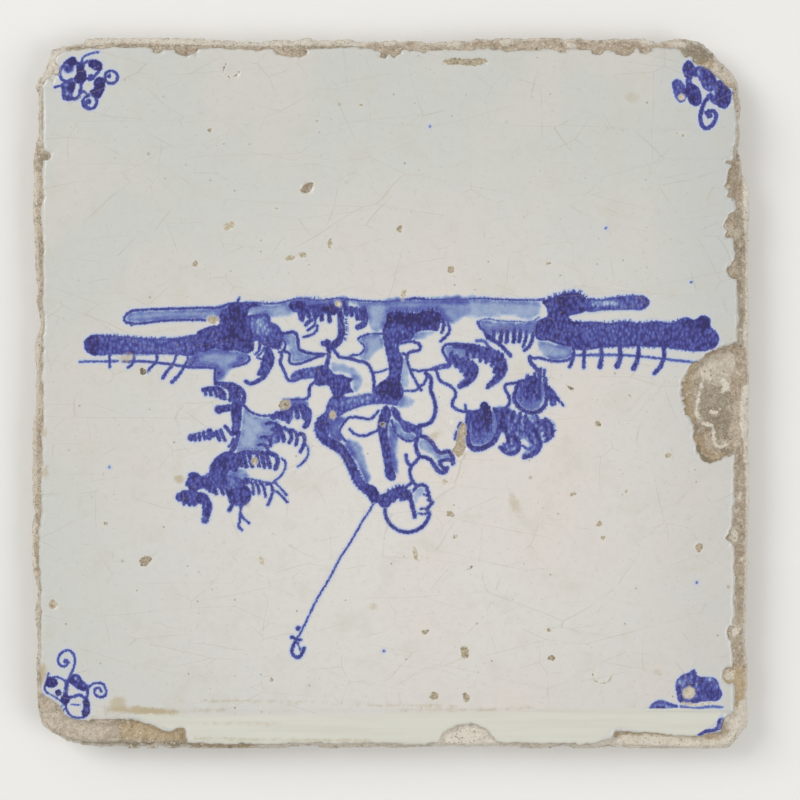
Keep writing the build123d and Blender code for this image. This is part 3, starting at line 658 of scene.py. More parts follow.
def paint_right_bars():
    """The bars of ground at the right, with the clump over them and their roots."""
    shade(16, 13, 20, 12.9, 25, 12.9, 27, 13.4, 26.4, 11, 23, 10.9, 19, 10.6, 17.6, 10.6, tone=0.4)
    line(15.9, 12.9, 17, 13.4, 20, 13.1, 23, 13, 26, 13.1, 27, 13.8, wide=0.17, tone=MID)
    line(15.9, 12.9, 16.3, 12, 17, 11.4, 17.5, 10.3, wide=0.3)
    spot(17.8, 10.2, 0.6)
    strokes((18.8, 11.2, 18.7, 9.6), (20.2, 11.3, 20, 9.4), (21.3, 11.3, 21.1, 9.3),
            (22.5, 11.4, 22.4, 9.3), (23.6, 11.3, 23.4, 9.4), wide=0.42)
    line(24.7, 11.4, 24.6, 9.9, 24.1, 8.5, wide=0.33)
    line(25.9, 11, 25.6, 9.2, 25, 8.3, 24.4, 7.8, wide=0.36)
    line(18.3, 9.7, 19.8, 8.9, 20.7, 8, 21.8, 6.8, wide=FULL)
    fill(27.6, 16.5, 29.4, 17.4, 31.5, 18.1, 33.5, 18.4, 35.2, 17.7, 36, 16.2, 35.6, 15, 33.5, 14.2,
         32.4, 13.9, 33, 13.2, 34, 12.8, 34.2, 8.4, 32, 8.4, 30, 9, 28.5, 9.5, 26.7, 9.7, 26.1, 11,
         26.6, 13, 28.6, 14.2, 28.4, 15.4)
    fringe(27.6, 16.5, 29.4, 17.3, 31.5, 18, 33.5, 18.3, 35.2, 17.6, 36, 16.2, length=0.5, wide=0.22,
           seed=4)
    pool(31.4, 16.4, 1.2, 2.6)
    pool(28.6, 12.6, 2.4, 2.4, deeper=0.06)
    pool(33.6, 13.1, 0.9, 0.9)
    shade(26.8, 9.4, 30, 8.8, 33, 8.3, 33, 6.8, 30.4, 5.9, 28.2, 6.6, tone=0.38)
    line(25.3, 6.7, 26, 6.3, 27, 6.4, 28.5, 6, 30, 5.8, 31.3, 5.8, 32.6, 6.2, 33.5, 6.8)
    line(25.3, 6.5, 25.5, 5.6, 26.2, 4.8, 26.8, 4, 27, 3.2, wide=0.4)
    line(28, 4.2, 27.9, 3, wide=0.3)
    # Upper bar
    fill(35.4, 17.1, 38, 17.1, 41, 17.5, 44, 17.8, 46.4, 17.5, 47.2, 16.4, 46.4, 15.4, 43, 15.1, 39, 15,
         35.4, 15, tone=0.62)
    pool(39.3, 16.3, 3.6, 0.62, 3, deeper=-0.34)
    spot(46.3, 16.6, 0.75, tone=0.78)
    line(33.3, 6.9, 39, 6.95, 44.5, 6.75, 50, 6.15, 55, 5.6, wide=0.26, tone=0.6)
    # Long bar
    fill(33.4, 13, 35, 13, 37.5, 13, 39, 12.8, 43, 13.1, 45, 12.8, 49, 13.1, 51, 12.8, 53.8, 13.8,
         55.3, 13.4, 56.7, 14.2, 58.2, 13.4, 58.2, 12.2, 59.4, 11, 59.8, 10, 59.4, 8.6, 57.4, 7.6, 55, 7.6,
         50, 8.2, 45.5, 8.4, 40, 8.3, 33.4, 8.3, tone=0.68)
    pool(56.6, 12.5, 1.8, 1.5, deeper=0.24)
    pool(53.8, 12.3, 1.3, 1.2, deeper=0.1)
    pool(57.4, 9.6, 2.4, 1.8, deeper=0.08)
    pool(52, 9.6, 2, 1.2, deeper=0.1)
    pool(42, 11, 4, 1.6, deeper=-0.06)
    fringe(33.4, 12.9, 39, 12.7, 43, 13, 45, 12.7, 49, 13, 51, 12.7, 52.6, 13.2, length=0.3, seed=6)
    fringe(33.4, 8.4, 40, 8.4, 45.5, 8.5, 50, 8.3, 55, 7.7, side=-1, length=0.25, seed=7)
    fringe(36, 17.1, 38, 17, 41, 17.4, 44, 17.7, 46.4, 17.4, length=0.28, seed=8)
    line(33.5, 6.8, 38.5, 6.8, 44, 6.8, 48, 6.4, 52, 5.8, 55, 5.6, 57.2, 5.5, wide=HAIR, tone=0.42)
    line(33.3, 8.3, 33.3, 6.8, 33, 5.8, 32.6, 4.8, wide=0.36)
    line(35.2, 8.3, 35.2, 6.8, 35.1, 4.6, wide=0.33)
    line(38.3, 8.5, 38.4, 6.8, 38.1, 4.8, wide=(0.33, BROAD))
    line(41.7, 8.5, 41.8, 7, 41.6, 5.8, 41.2, 4.9, wide=(0.36, 0.55))
    line(45, 9, 45.1, 7.5, 44.8, 5.8, 44.2, 4.5, wide=(0.36, 0.52))
    line(49.5, 9, 49.8, 7.3, 49.6, 6, 48.9, 4.6, 48, 3.6, wide=0.42)


def paint_pods():
    """The two round seed pods and the leaves under them."""
    fill(24.3, 2.5, 25.5, 3.2, 27.3, 2.3, 27.5, 0.5, 27, -1.5, 26, -2.3, 24.8, -1.6, 23.9, -0.2, 24, 1.6)
    line(23.4, 2, 22.8, 0.5, 22.5, -0.8, 22.9, -2, 24, -3, 25.5, -3.6, 27, -3.3, 28.1, -2.2, 28.4, -0.8,
         28.2, 1, 28.1, 2.6, wide=0.42)
    shade(23.2, 1.6, 22.9, -1, 24.4, -3, 26.6, -3, 27.9, -1, 27.9, 2, tone=0.4)
    shade(14.4, -4, 14.3, -8, 15.4, -9.6, 17.4, -9.4, 19.2, -7.4, 19.2, -4, tone=0.38)
    fill(28.3, 1.6, 29.3, 1, 30.2, -0.2, 30.8, -1.2, 30.3, -1.5, 30, -2.3, 29.2, -2.4, 28.8, -1.2,
         28.3, -0.1, tone=0.66)
    line(30.2, -0.9, 30.8, -1.6, 31.4, -2.2, wide=0.24)
    pool(25.9, 1.9, 1.4, 1.3, deeper=0.12)
    pool(25.6, -1.9, 1.9, 0.9, deeper=-0.22)
    pool(16.4, -7.9, 1.8, 1, deeper=-0.2)
    strokes((26.2, 3.6, 26.4, 2.4), (27.3, 4.4, 27.2, 2), (24.9, 3.2, 24.9, 2.2), wide=0.3)
    strokes((23.7, 1.6, 23.7, -1.5), (24.6, 2.2, 24.6, -2.3), (25.6, 2.4, 25.6, -2.6),
            (26.6, 2.2, 26.5, -2.3), (27.3, 1.4, 27.2, -1.3), (14.9, -4.2, 15, -8),
            (15.7, -3.8, 15.8, -8.8), (16.7, -3.8, 16.7, -9), (17.6, -4.2, 17.6, -8.4),
            (18.4, -4.8, 18.3, -7.2), wide=0.26)
    fill(26.9, -4.9, 28.4, -4.8, 29.5, -5.5, 29.8, -7, 29.3, -8.4, 28.5, -8.8, 27.9, -7.6, 27.4, -6,
         tone=0.5)
    strokes((27, -5.9, 28.6, -4.9), (27.4, -6.9, 29.5, -5.8), (27.8, -7.8, 29.9, -6.8),
            (28.2, -8.6, 29.6, -7.8), wide=0.26)
    line(24.2, 2.3, 23, 1.9, 21.8, 1.7, 20.9, 1.5, 20.8, 0.9, 21.3, -0.1, 21.7, -1.2, 21.5, -2.2,
         20.7, -2.8, 18.8, -2.9, wide=0.3)
    fill(14.7, -3.3, 16, -2.9, 17.2, -2.1, 18, -2.3, 18.3, -3.5, 18.2, -5.5, 18, -7.3, 17, -8.6, 15.3, -8.4,
         14.8, -7, 14.6, -5)
    line(17.1, -2.4, 17.6, -3.5, 17.7, -5, wide=0.8, tone=DEEP)
    line(14.3, -3.9, 14, -5.8, 14, -7.9, 14.2, -9.2, 15, -10, 16.2, -10.1, 17.6, -9.6, 18.7, -8.8,
         19.4, -7.6, 19.8, -6, 19.6, -4.2, 19.2, -3.2, wide=0.56)
    strokes((12.8, -5.6, 12.5, -6.4), (12.1, -7.2, 11.9, -8.2), wide=0.42)
    # Leaves
    strokes((20.4, -3.2, 20.3, -5, 20.5, -6.8), (21.3, -3.2, 21, -4.8, 21.1, -7, 21.5, -9),
            (22.4, -3.4, 22.1, -5.2, 22.3, -7.2, 22.9, -8.8), (23.6, -3.8, 23.4, -5.6, 24, -7.6),
            (24.6, -4.2, 24.6, -6, 25.3, -7.8, 25.8, -9), wide=0.36, tone=0.78)
    fill(19.3, -2.5, 21.5, -2.6, 23, -3.7, 25, -4.3, 26.6, -4, 27.6, -5.2, 27.4, -7, 27.4, -9.6, 26.4, -11,
         24.3, -11.8, 24, -11.2, 25.2, -10, 24.9, -8.8, 23.8, -8.4, 23.3, -9.8, 22.3, -11, 20.9, -10.7,
         19.9, -9.9, 20.8, -9.3, 20.4, -7, 19.2, -5.6, tone=0.36)
    shade(27.6, -4.8, 29, -4.8, 29.9, -6, 29.6, -7.6, 28.1, -8.8, 27.6, -7.4, tone=0.3)
    line(20, -9.9, 20.8, -10.6, 22, -11, 23, -10.6, 23.4, -9.6, 23.2, -8.4, wide=0.42)
    line(20.6, -9.3, 21.8, -9.8, 23, -9, wide=0.3, tone=MID)
    line(25, -5.2, 26, -6.6, 26.9, -8.2, 27.2, -9.3, 26.7, -10.5, 25.5, -11.3, 24.3, -11.6, wide=0.48)
    line(24, -9.6, 25.2, -10.2, 26.4, -9.6, wide=0.28, tone=MID)
    line(26.5, -4, 26.9, -5.8, 26.6, -7, wide=0.3)
    line(27.6, -5, 28.3, -6, 28.2, -7.4, wide=0.35)
    line(28.8, -5.2, 29.5, -6.6, 29.2, -7.9, 28.2, -8.8, wide=0.33)
    line(28.1, -4.6, 28.8, -5.2, wide=0.26)


def paint_top_left_corner():
    """Corner flower at the top left."""
    fill(-59, 60.2, -58.5, 60.9, -57.9, 61.2, -57.3, 61, -57, 60.2, -57.4, 59.6, -58.5, 59.5, tone=DEEP)
    line(-58.9, 60.3, -59.5, 59.5, -60.1, 58.6, -60, 57.5, -59.6, 56.9, -58.9, 56.7, -57.9, 57, wide=0.3)
    shade(-59.6, 59.4, -58.6, 59.8, -57.4, 59.4, -57.8, 58.6, -58.9, 58.2, tone=0.5)
    spot(-58.6, 58.8, 0.66)
    spot(-58, 59.4, 0.4)
    line(-57.5, 60, -56.5, 59.8, -55.9, 59.4, wide=FULL)
    fill(-57.1, 59.6, -56, 59.3, -55.3, 58.2, -55.3, 57, -56, 56.3, -57, 56.3, -57.6, 57, -57.1, 58.2,
         tone=DEEP)
    fill(-59.8, 56.4, -58.6, 56.7, -57.3, 56.6, -57.4, 55.2, -57.8, 54, -57.2, 53.4, -58.4, 53.1,
         -59.5, 53.3, -59.8, 54.8, tone=0.7)
    pool(-58.9, 54.3, 0.4, 0.4, deeper=-0.45)
    pool(-59, 56, 0.35, 0.3, deeper=-0.4)
    pool(-58.1, 55.6, 0.7, 1)
    line(-56.2, 56.4, -56.4, 54.9, -56.7, 53.9, -57.4, 53.4, wide=0.34)
    line(-59.7, 55.8, -60.4, 55.8, -61, 55.6, wide=0.24)
    line(-57, 60, -56, 59.9, -55.3, 60.2, -54.5, 60.4, -53.5, 60.3, -52.8, 59.9, -52.6, 59.2, -53, 58.6,
         -53.5, 58, -54, 57.5, -54.6, 57, -55.2, 57.2, wide=0.3)
    fill(-54.6, 60.3, -53.6, 60.7, -52.8, 60.1, -52.6, 59.2, -53.4, 58.6, -54.4, 59, -55, 59.6, tone=DEEP)
    pool(-54, 59, 0.5, 0.4, deeper=-0.2)
    spot(-54.4, 57.4, 0.62)
    line(-56.2, 59.9, -55.9, 61, -55.3, 61.4, -54.2, 61.8, -53, 62, wide=HAIR)
    fill(-54, 56.5, -53, 57.5, -52, 57.1, -51.9, 55.7, -52.3, 54.5, -53, 53.6, -54, 53.9, -54.7, 54.9,
         -53.9, 55.4, tone=DEEP)
    pool(-53.6, 54.6, 0.6, 0.5, deeper=-0.12)
    curl(-50.8, 57.4, 1.2, 150, -345, 1.1, wide=0.28)
    spot(-51.2, 57.6, 0.42)
    curl(-54.7, 52.9, 1.3, 60, -320, 1.2, wide=0.3)
    line(-55.9, 53, -55.6, 52.2, -55, 51.8, wide=0.42)
    spot(-54.9, 53, 0.55)
    line(-56.3, 54.6, -55.8, 54.9, -55.3, 54.4, -54.8, 54.3, wide=0.22)


def paint_top_right_corner():
    """Corner flower at the top right."""
    fill(53.4, 60, 54.3, 60.6, 55, 59.9, 55.4, 59, 55.1, 57.7, 54.4, 56.8, 53.4, 57.7, 53.1, 59)
    fill(55.2, 59.2, 56.9, 59.4, 58, 58.9, 59.1, 57.7, 59.3, 56.3, 58.6, 54.9, 57.6, 54.9, 56.6, 55.9,
         56.1, 57.1, 55.3, 58.2)
    fill(59.1, 56.6, 60, 56.9, 61.1, 56, 61.9, 54.9, 61.9, 53.2, 61.1, 51.8, 60, 51.8, 59.1, 52.8,
         58.9, 54.4, tone=0.78)
    fill(57.5, 54.2, 58.3, 54.7, 59.2, 53.6, 59.8, 52.3, 58.7, 52.5, 57.9, 53.4, tone=0.56)
    fill(53.9, 56.5, 55, 56.3, 56.1, 55.4, 56.6, 54, 56.5, 52.8, 55.5, 52.1, 54.6, 52.5, 53.9, 53.8,
         53.6, 55.1, tone=0.78)
    fill(51.2, 56.5, 51.9, 57.1, 52.9, 56.8, 53.6, 55.7, 53.9, 54.2, 53.6, 53.2, 52.7, 52.8, 51.9, 53.5,
         51.4, 54.9, tone=0.64)
    pool(56.1, 58.3, 0.5, 0.8, deeper=-0.34)
    pool(57.6, 55.4, 1, 0.5, 20, deeper=-0.2)
    pool(59, 55, 0.4, 1.2, deeper=-0.2)
    pool(60.4, 53.8, 0.9, 1.2, deeper=0.14)
    pool(55, 54, 0.9, 1.2, deeper=0.1)
    pool(54, 59, 0.5, 0.8, deeper=0.16)
    line(57.4, 53.4, 56.8, 52.1, 56.4, 50.7, 56.4, 49.3, 56.9, 48.4, 57.5, 48.1, 58.3, 48.6, 59.1, 49.6,
         59.2, 50.7, 58.8, 51.2, 58, 51.3, 57.4, 50.9, wide=0.4)
    line(57.4, 53.4, 58.2, 54, wide=0.42)
    spot(58, 50.5, 0.62)
    spot(62.3, 54.6, 0.28, tone=MID)
    spot(55.4, 58.2, 0.8, tone=0.52)
    spot(59, 55.6, 0.75, tone=0.6)
    spot(54.2, 56.7, 0.6, tone=0.6)
    spot(53.8, 54.9, 0.6, tone=0.6)


def paint_bottom_left_corner():
    """Corner flower at the bottom left."""
    line(-58.5, -49, -59.2, -49.7, -59.9, -49.6, -60.4, -49, -60.4, -48.1, -59.6, -47.1, -58.6, -46.7,
         -57.7, -47.4, -57.4, -48.8, -57.7, -50.2, -58.3, -51.5, -58.8, -52.9, wide=0.24)
    spot(-59, -48.8, 0.5)
    line(-62.2, -51, -62.5, -52.2, -62.9, -53.4, -62.8, -54.1, -61.6, -54.9, -60.4, -55.7, -59.5, -56.3,
         wide=HAIR)
    fill(-62.5, -51.9, -61.4, -51.8, -60.5, -52.3, -60.7, -53.3, -61.6, -53.6, -62.7, -53.3, tone=DEEP)
    line(-62.3, -51.9, -61.3, -51.7, -60.4, -51.7, -59.5, -52.1, -58.8, -52.5, wide=0.22)
    spot(-60.4, -54.5, 0.6, tone=DEEP)
    fill(-58.5, -51.8, -57.8, -51.1, -56.9, -51.1, -55.9, -52.2, -54.9, -53.5, -55.4, -54.1, -56.7, -54,
         -57.8, -53.1, -58.6, -52.6)
    pool(-57.3, -51.9, 0.35, 0.45, 40, deeper=-0.3)
    pool(-56, -53.2, 0.3, 0.4, 40, deeper=-0.25)
    pool(-57.9, -52.4, 0.6, 0.5, deeper=0.16)
    line(-55, -53.5, -53.8, -52.8, -52.5, -52.8, -51.8, -53.7, -51.9, -55, -52.9, -55.3, -53.7, -54.7,
         -53.7, -53.8, -52.8, -53.7, -52.6, -54.3, wide=0.24)
    line(-58.8, -52.6, -59, -54.1, -59.2, -55.3, wide=0.4)
    fill(-59.9, -55.2, -59, -54.8, -58.3, -55.5, -58.5, -56.4, -59.4, -56.7, -60, -56, tone=DEEP)
    line(-55.1, -53.7, -55.1, -54.8, -55.3, -55.5, wide=0.28)
    line(-58.8, -55.4, -57.6, -55.2, -56.5, -54.9, -55.8, -55.3, -55.1, -55.9, wide=0.3)
    fill(-56, -55.9, -55, -55.8, -54.6, -57.2, -54.9, -58.6, -55.7, -59, -56.2, -58.2, -55.8, -57,
         tone=DEEP)
    pool(-55.3, -57.4, 0.3, 0.4, deeper=-0.25)
    line(-59.1, -56.5, -58.9, -57.6, -58.1, -58.7, -56.7, -59.1, -55.7, -58.9, wide=0.24)
    strokes((-58, -56.6, -57.1, -56.7, -56.5, -56.7), (-59.6, -57.9, -59, -57.1), wide=0.16)
    line(-60, -57.1, -59.5, -56.8, wide=0.14, tone=MID)
    line(-63.7, -54.6, -63.1, -55, wide=0.13, tone=MID)


def paint_bottom_right_corner():
    """Corner flower at the bottom right, half lost under the made-good strip."""
    fill(52, -52.4, 52.8, -51.4, 54.3, -50.7, 55.3, -50.2, 55.8, -51.3, 56.9, -51.6, 58.2, -51.6, 59.2, -52,
         59.9, -53.6, 60.4, -54.9, 59.9, -55.7, 57, -56.1, 54.6, -56.6, 52.6, -56.3, 52, -54.6, tone=0.68)
    pool(53, -52.6, 0.85, 0.75, deeper=-0.34)
    spot(53.1, -52.6, 0.18)
    pool(55.7, -52.8, 0.22, 1.1, deeper=-0.3)
    pool(57.9, -52, 0.75, 0.6, deeper=-0.34)
    spot(57.9, -52, 0.16)
    pool(56.6, -52.4, 0.35, 0.8, deeper=0.24)
    pool(58, -54.6, 1.9, 1, deeper=0.14)
    line(52.4, -53.6, 53, -53.9, 53.7, -53.5, wide=0.14, tone=0.12)
    pool(54.6, -51.6, 0.25, 0.8, deeper=-0.25)
    pool(59.3, -53.6, 0.22, 0.9, deeper=-0.22)
    pool(57.2, -54, 0.2, 1.1, deeper=-0.2)
    pool(55.8, -55.4, 1.4, 0.25, deeper=-0.25)
    line(53.2, -56.4, 55.5, -56.7, 58, -56.4, 60.2, -56.6, wide=0.14, tone=0.1, coat=chip)
    fill(47.3, -57.2, 48, -56.5, 49.2, -56.1, 50.5, -56.5, 51.8, -57.1, 50, -57.5, tone=0.4)
    line(47.3, -57.2, 48, -56.5, 49.2, -56.1, 50.5, -56.5, 52, -57, wide=0.3, tone=0.66)
    line(48.4, -57.2, 49.6, -57.1, wide=0.24, tone=DEEP)
    line(52.8, -57, 55.4, -57.3, 58.2, -57, 60.2, -57.1, wide=0.3, tone=0.5)
    oval(60.1, -60.1, 0.75, 1.15, turn=-15)
    line(56.2, -62.1, 57.3, -61.6, 58.6, -61.4, 59.7, -61, wide=0.36)
    line(53.7, -63.5, 54.7, -63.2, 55.3, -63.1, wide=0.26, tone=0.42)


def wear_the_face():
    """Pits, knocks and stains in the glaze: place, half lengths, lean in degrees and darkness."""
    knocks = (
        (-15.2, 37.3, 1.35, 0.75, 38, 0.62), (-29.4, 30.4, 1.15, 0.62, 25, 0.3),
        (-11, 27.1, 0.42, 0.95, 0, 0.4), (1.7, 29.9, 0.5, 0.7, -20, 0.6), (-18.2, 24.6, 1, 0.45, 15, 0.35),
        (-16, 25.1, 0.8, 0.5, -10, 0.5), (-35.5, 23.5, 0.55, 0.6, 0, 0.55), (2.4, 18, 0.45, 0.85, -12, 0.3),
        (11, 22.5, 0.62, 0.78, 0, 0.55), (28.6, 23.5, 0.5, 0.3, 10, 0.55), (-32.3, 13.3, 1, 0.7, -8, 0.45),
        (-45, 3.9, 0.7, 0.6, -40, 0.95), (-19.3, -2.1, 1.1, 0.85, 20, 0.55),
        (-10.5, -4, 0.55, 0.65, 0, 0.3), (-9.5, 16.2, 0.5, 0.5, 0, 0.12),
        (-24.7, -12.4, 0.55, 0.62, 0, 0.35), (-1.4, -5.7, 0.4, 0.3, 0, 0.95),
        (32.7, 0.9, 0.95, 0.3, -42, 0.8), (37.7, -5.6, 0.6, 0.55, 0, 0.62),
        (33.2, -18.4, 0.62, 0.34, 20, 0.5), (10.8, -22, 0.8, 0.5, -15, 0.5),
        (9.9, -16.2, 0.4, 0.55, 0, 0.3), (-51.8, -23.7, 0.45, 0.32, -20, 0.8),
        (-44.6, -30.5, 1.2, 0.9, 15, 0.7), (-61.4, -38.5, 0.8, 0.9, 0, 0.45),
        (-23.4, -30.5, 0.45, 0.9, 22, 0.2), (6.3, -43.5, 0.7, 0.42, 20, 0.6),
        (4.5, -29.2, 0.36, 1.3, 12, 0.4), (7.9, -55.1, 0.85, 0.7, 0, 0.6), (13.8, -55.4, 0.6, 1, 20, 0.6),
        (13.5, -47.1, 0.75, 1.2, 10, 0.6), (29.2, -48.2, 0.7, 0.5, 0, 0.7), (28.8, -43.1, 0.4, 0.4, 0, 0.6),
        (37.9, -23.8, 0.6, 0.5, 0, 0.45), (38.6, -26.4, 0.42, 0.42, 0, 0.4), (56.1, -28, 0.7, 0.9, 0, 0.5),
        (50.5, -11.3, 0.6, 0.5, 30, 0.5), (-32.8, 47.8, 0.4, 0.4, 0, 0.6), (-5.4, 52.4, 0.35, 0.35, 0, 0.6),
        (-13.4, 49.5, 0.3, 0.3, 0, 0.6), (43.5, -0.5, 0.42, 0.25, -20, 0.6),
        (-20.9, 33.4, 0.45, 0.25, 0, 0.35), (-21.7, -52.2, 0.3, 0.5, 0, 0.7),
        (52.95, 53.8, 0.2, 0.2, 0, 0.9), (54.3, -54.5, 1.1, 1, 30, 0.06), (61.8, -51.4, 1.4, 1.2, 0, 0.12),
        (11.7, -26.1, 0.5, 0.3, 20, 0.55), (14.5, -31.8, 0.5, 0.24, 25, 0.6),
        (11.5, -20.3, 0.24, 0.2, 0, 0.5), (52.2, 47.3, 0.35, 0.22, 10, 0.55),
        (53.2, 46.9, 0.3, 0.34, 0, 0.5), (42.9, -17.8, 0.4, 0.3, 0, 0.4), (52.9, 53.8, 0.5, 0.5, 0, 0.05),
    )
    for x, y, wide, tall, turn, darkness in knocks:
        oval(x, y, wide, tall, turn, tone=darkness, coat=chip)
    fill(9.4, 60.4, 11, 60.9, 14, 60.7, 17, 60.8, 17.8, 60.3, 16.5, 59.7, 14, 59.5, 12.4, 59.8, 10.6, 59.7,
         tone=0.55, coat=chip)
    fill(13.3, -5.4, 13.7, -6.5, 13.5, -8.5, 13.7, -10, 13.2, -11, 12.4, -11.7, 11.8, -11.2, 11.2, -10.4,
         11.9, -9.2, 12.3, -7.5, 12.7, -6, tone=0.5, coat=chip)
    curl(-29, 58.8, 1.4, 130, 220, 1.4, wide=0.13, tone=0.75, coat=chip)
    curl(-29, 58.8, 1.5, -70, 60, 1.5, wide=0.1, tone=0.5, coat=chip)
    curl(38.5, -51.1, 1.7, 170, 190, 1.8, wide=0.12, tone=0.55, coat=chip)
    line(-34, -56, -18, -56.2, -2, -56.6, 12, -57, wide=0.12, tone=0.5, coat=stain)
    strokes((2, -57.7, 16, -57.6, 26, -57.2), (-34, -60.3, -27, -60.1, -20, -60.3), wide=0.1, tone=0.5,
            coat=stain)
    line(-52, -58.3, -30, -57.6, wide=0.1, tone=0.4, coat=stain)
    line(-35.6, -62.8, -20, -63.1, -4, -63.2, wide=0.12, tone=0.55, coat=stain)
    stains = (
        (-48.1, 6.4, 1.3, 0.7, 0, 0.6), (-46.4, -6.8, 0.8, 0.5, 0, 0.2), (-38.5, -15.6, 0.85, 0.75, 0, 0.7),
        (7.8, -7.8, 0.9, 0.6, 15, 0.45), (22.6, -20.1, 0.8, 2, 20, 0.4), (-4.5, 1.5, 0.5, 0.5, 0, 0.3),
        (44.1, 53.8, 1.3, 1, 0, 0.3), (-63.2, -50.8, 0.6, 1.6, 0, 0.8), (-45, -57.7, 6.2, 0.65, -4, 0.85),
        (-49.6, -56.6, 1.6, 1.3, 30, 0.6), (-3.2, -38.9, 0.7, 0.7, 0, 0.5), (-63, -7, 0.5, 0.8, 0, 0.5),
        (-62.7, -14, 0.5, 1, 0, 0.5), (48.5, -50.7, 0.8, 0.5, 0, 0.5), (-26, -20.4, 0.5, 0.4, 0, 0.4),
    )
    for x, y, wide, tall, turn, darkness in stains:
        oval(x, y, wide, tall, turn, tone=darkness, coat=stain)
    spots(-51.1, -13.5, 7.2, 48.5, 39.2, 30, 54.7, 20.2, 55.7, -34.5, -1.2, -46.9, radius=0.26,
          tone=MID)


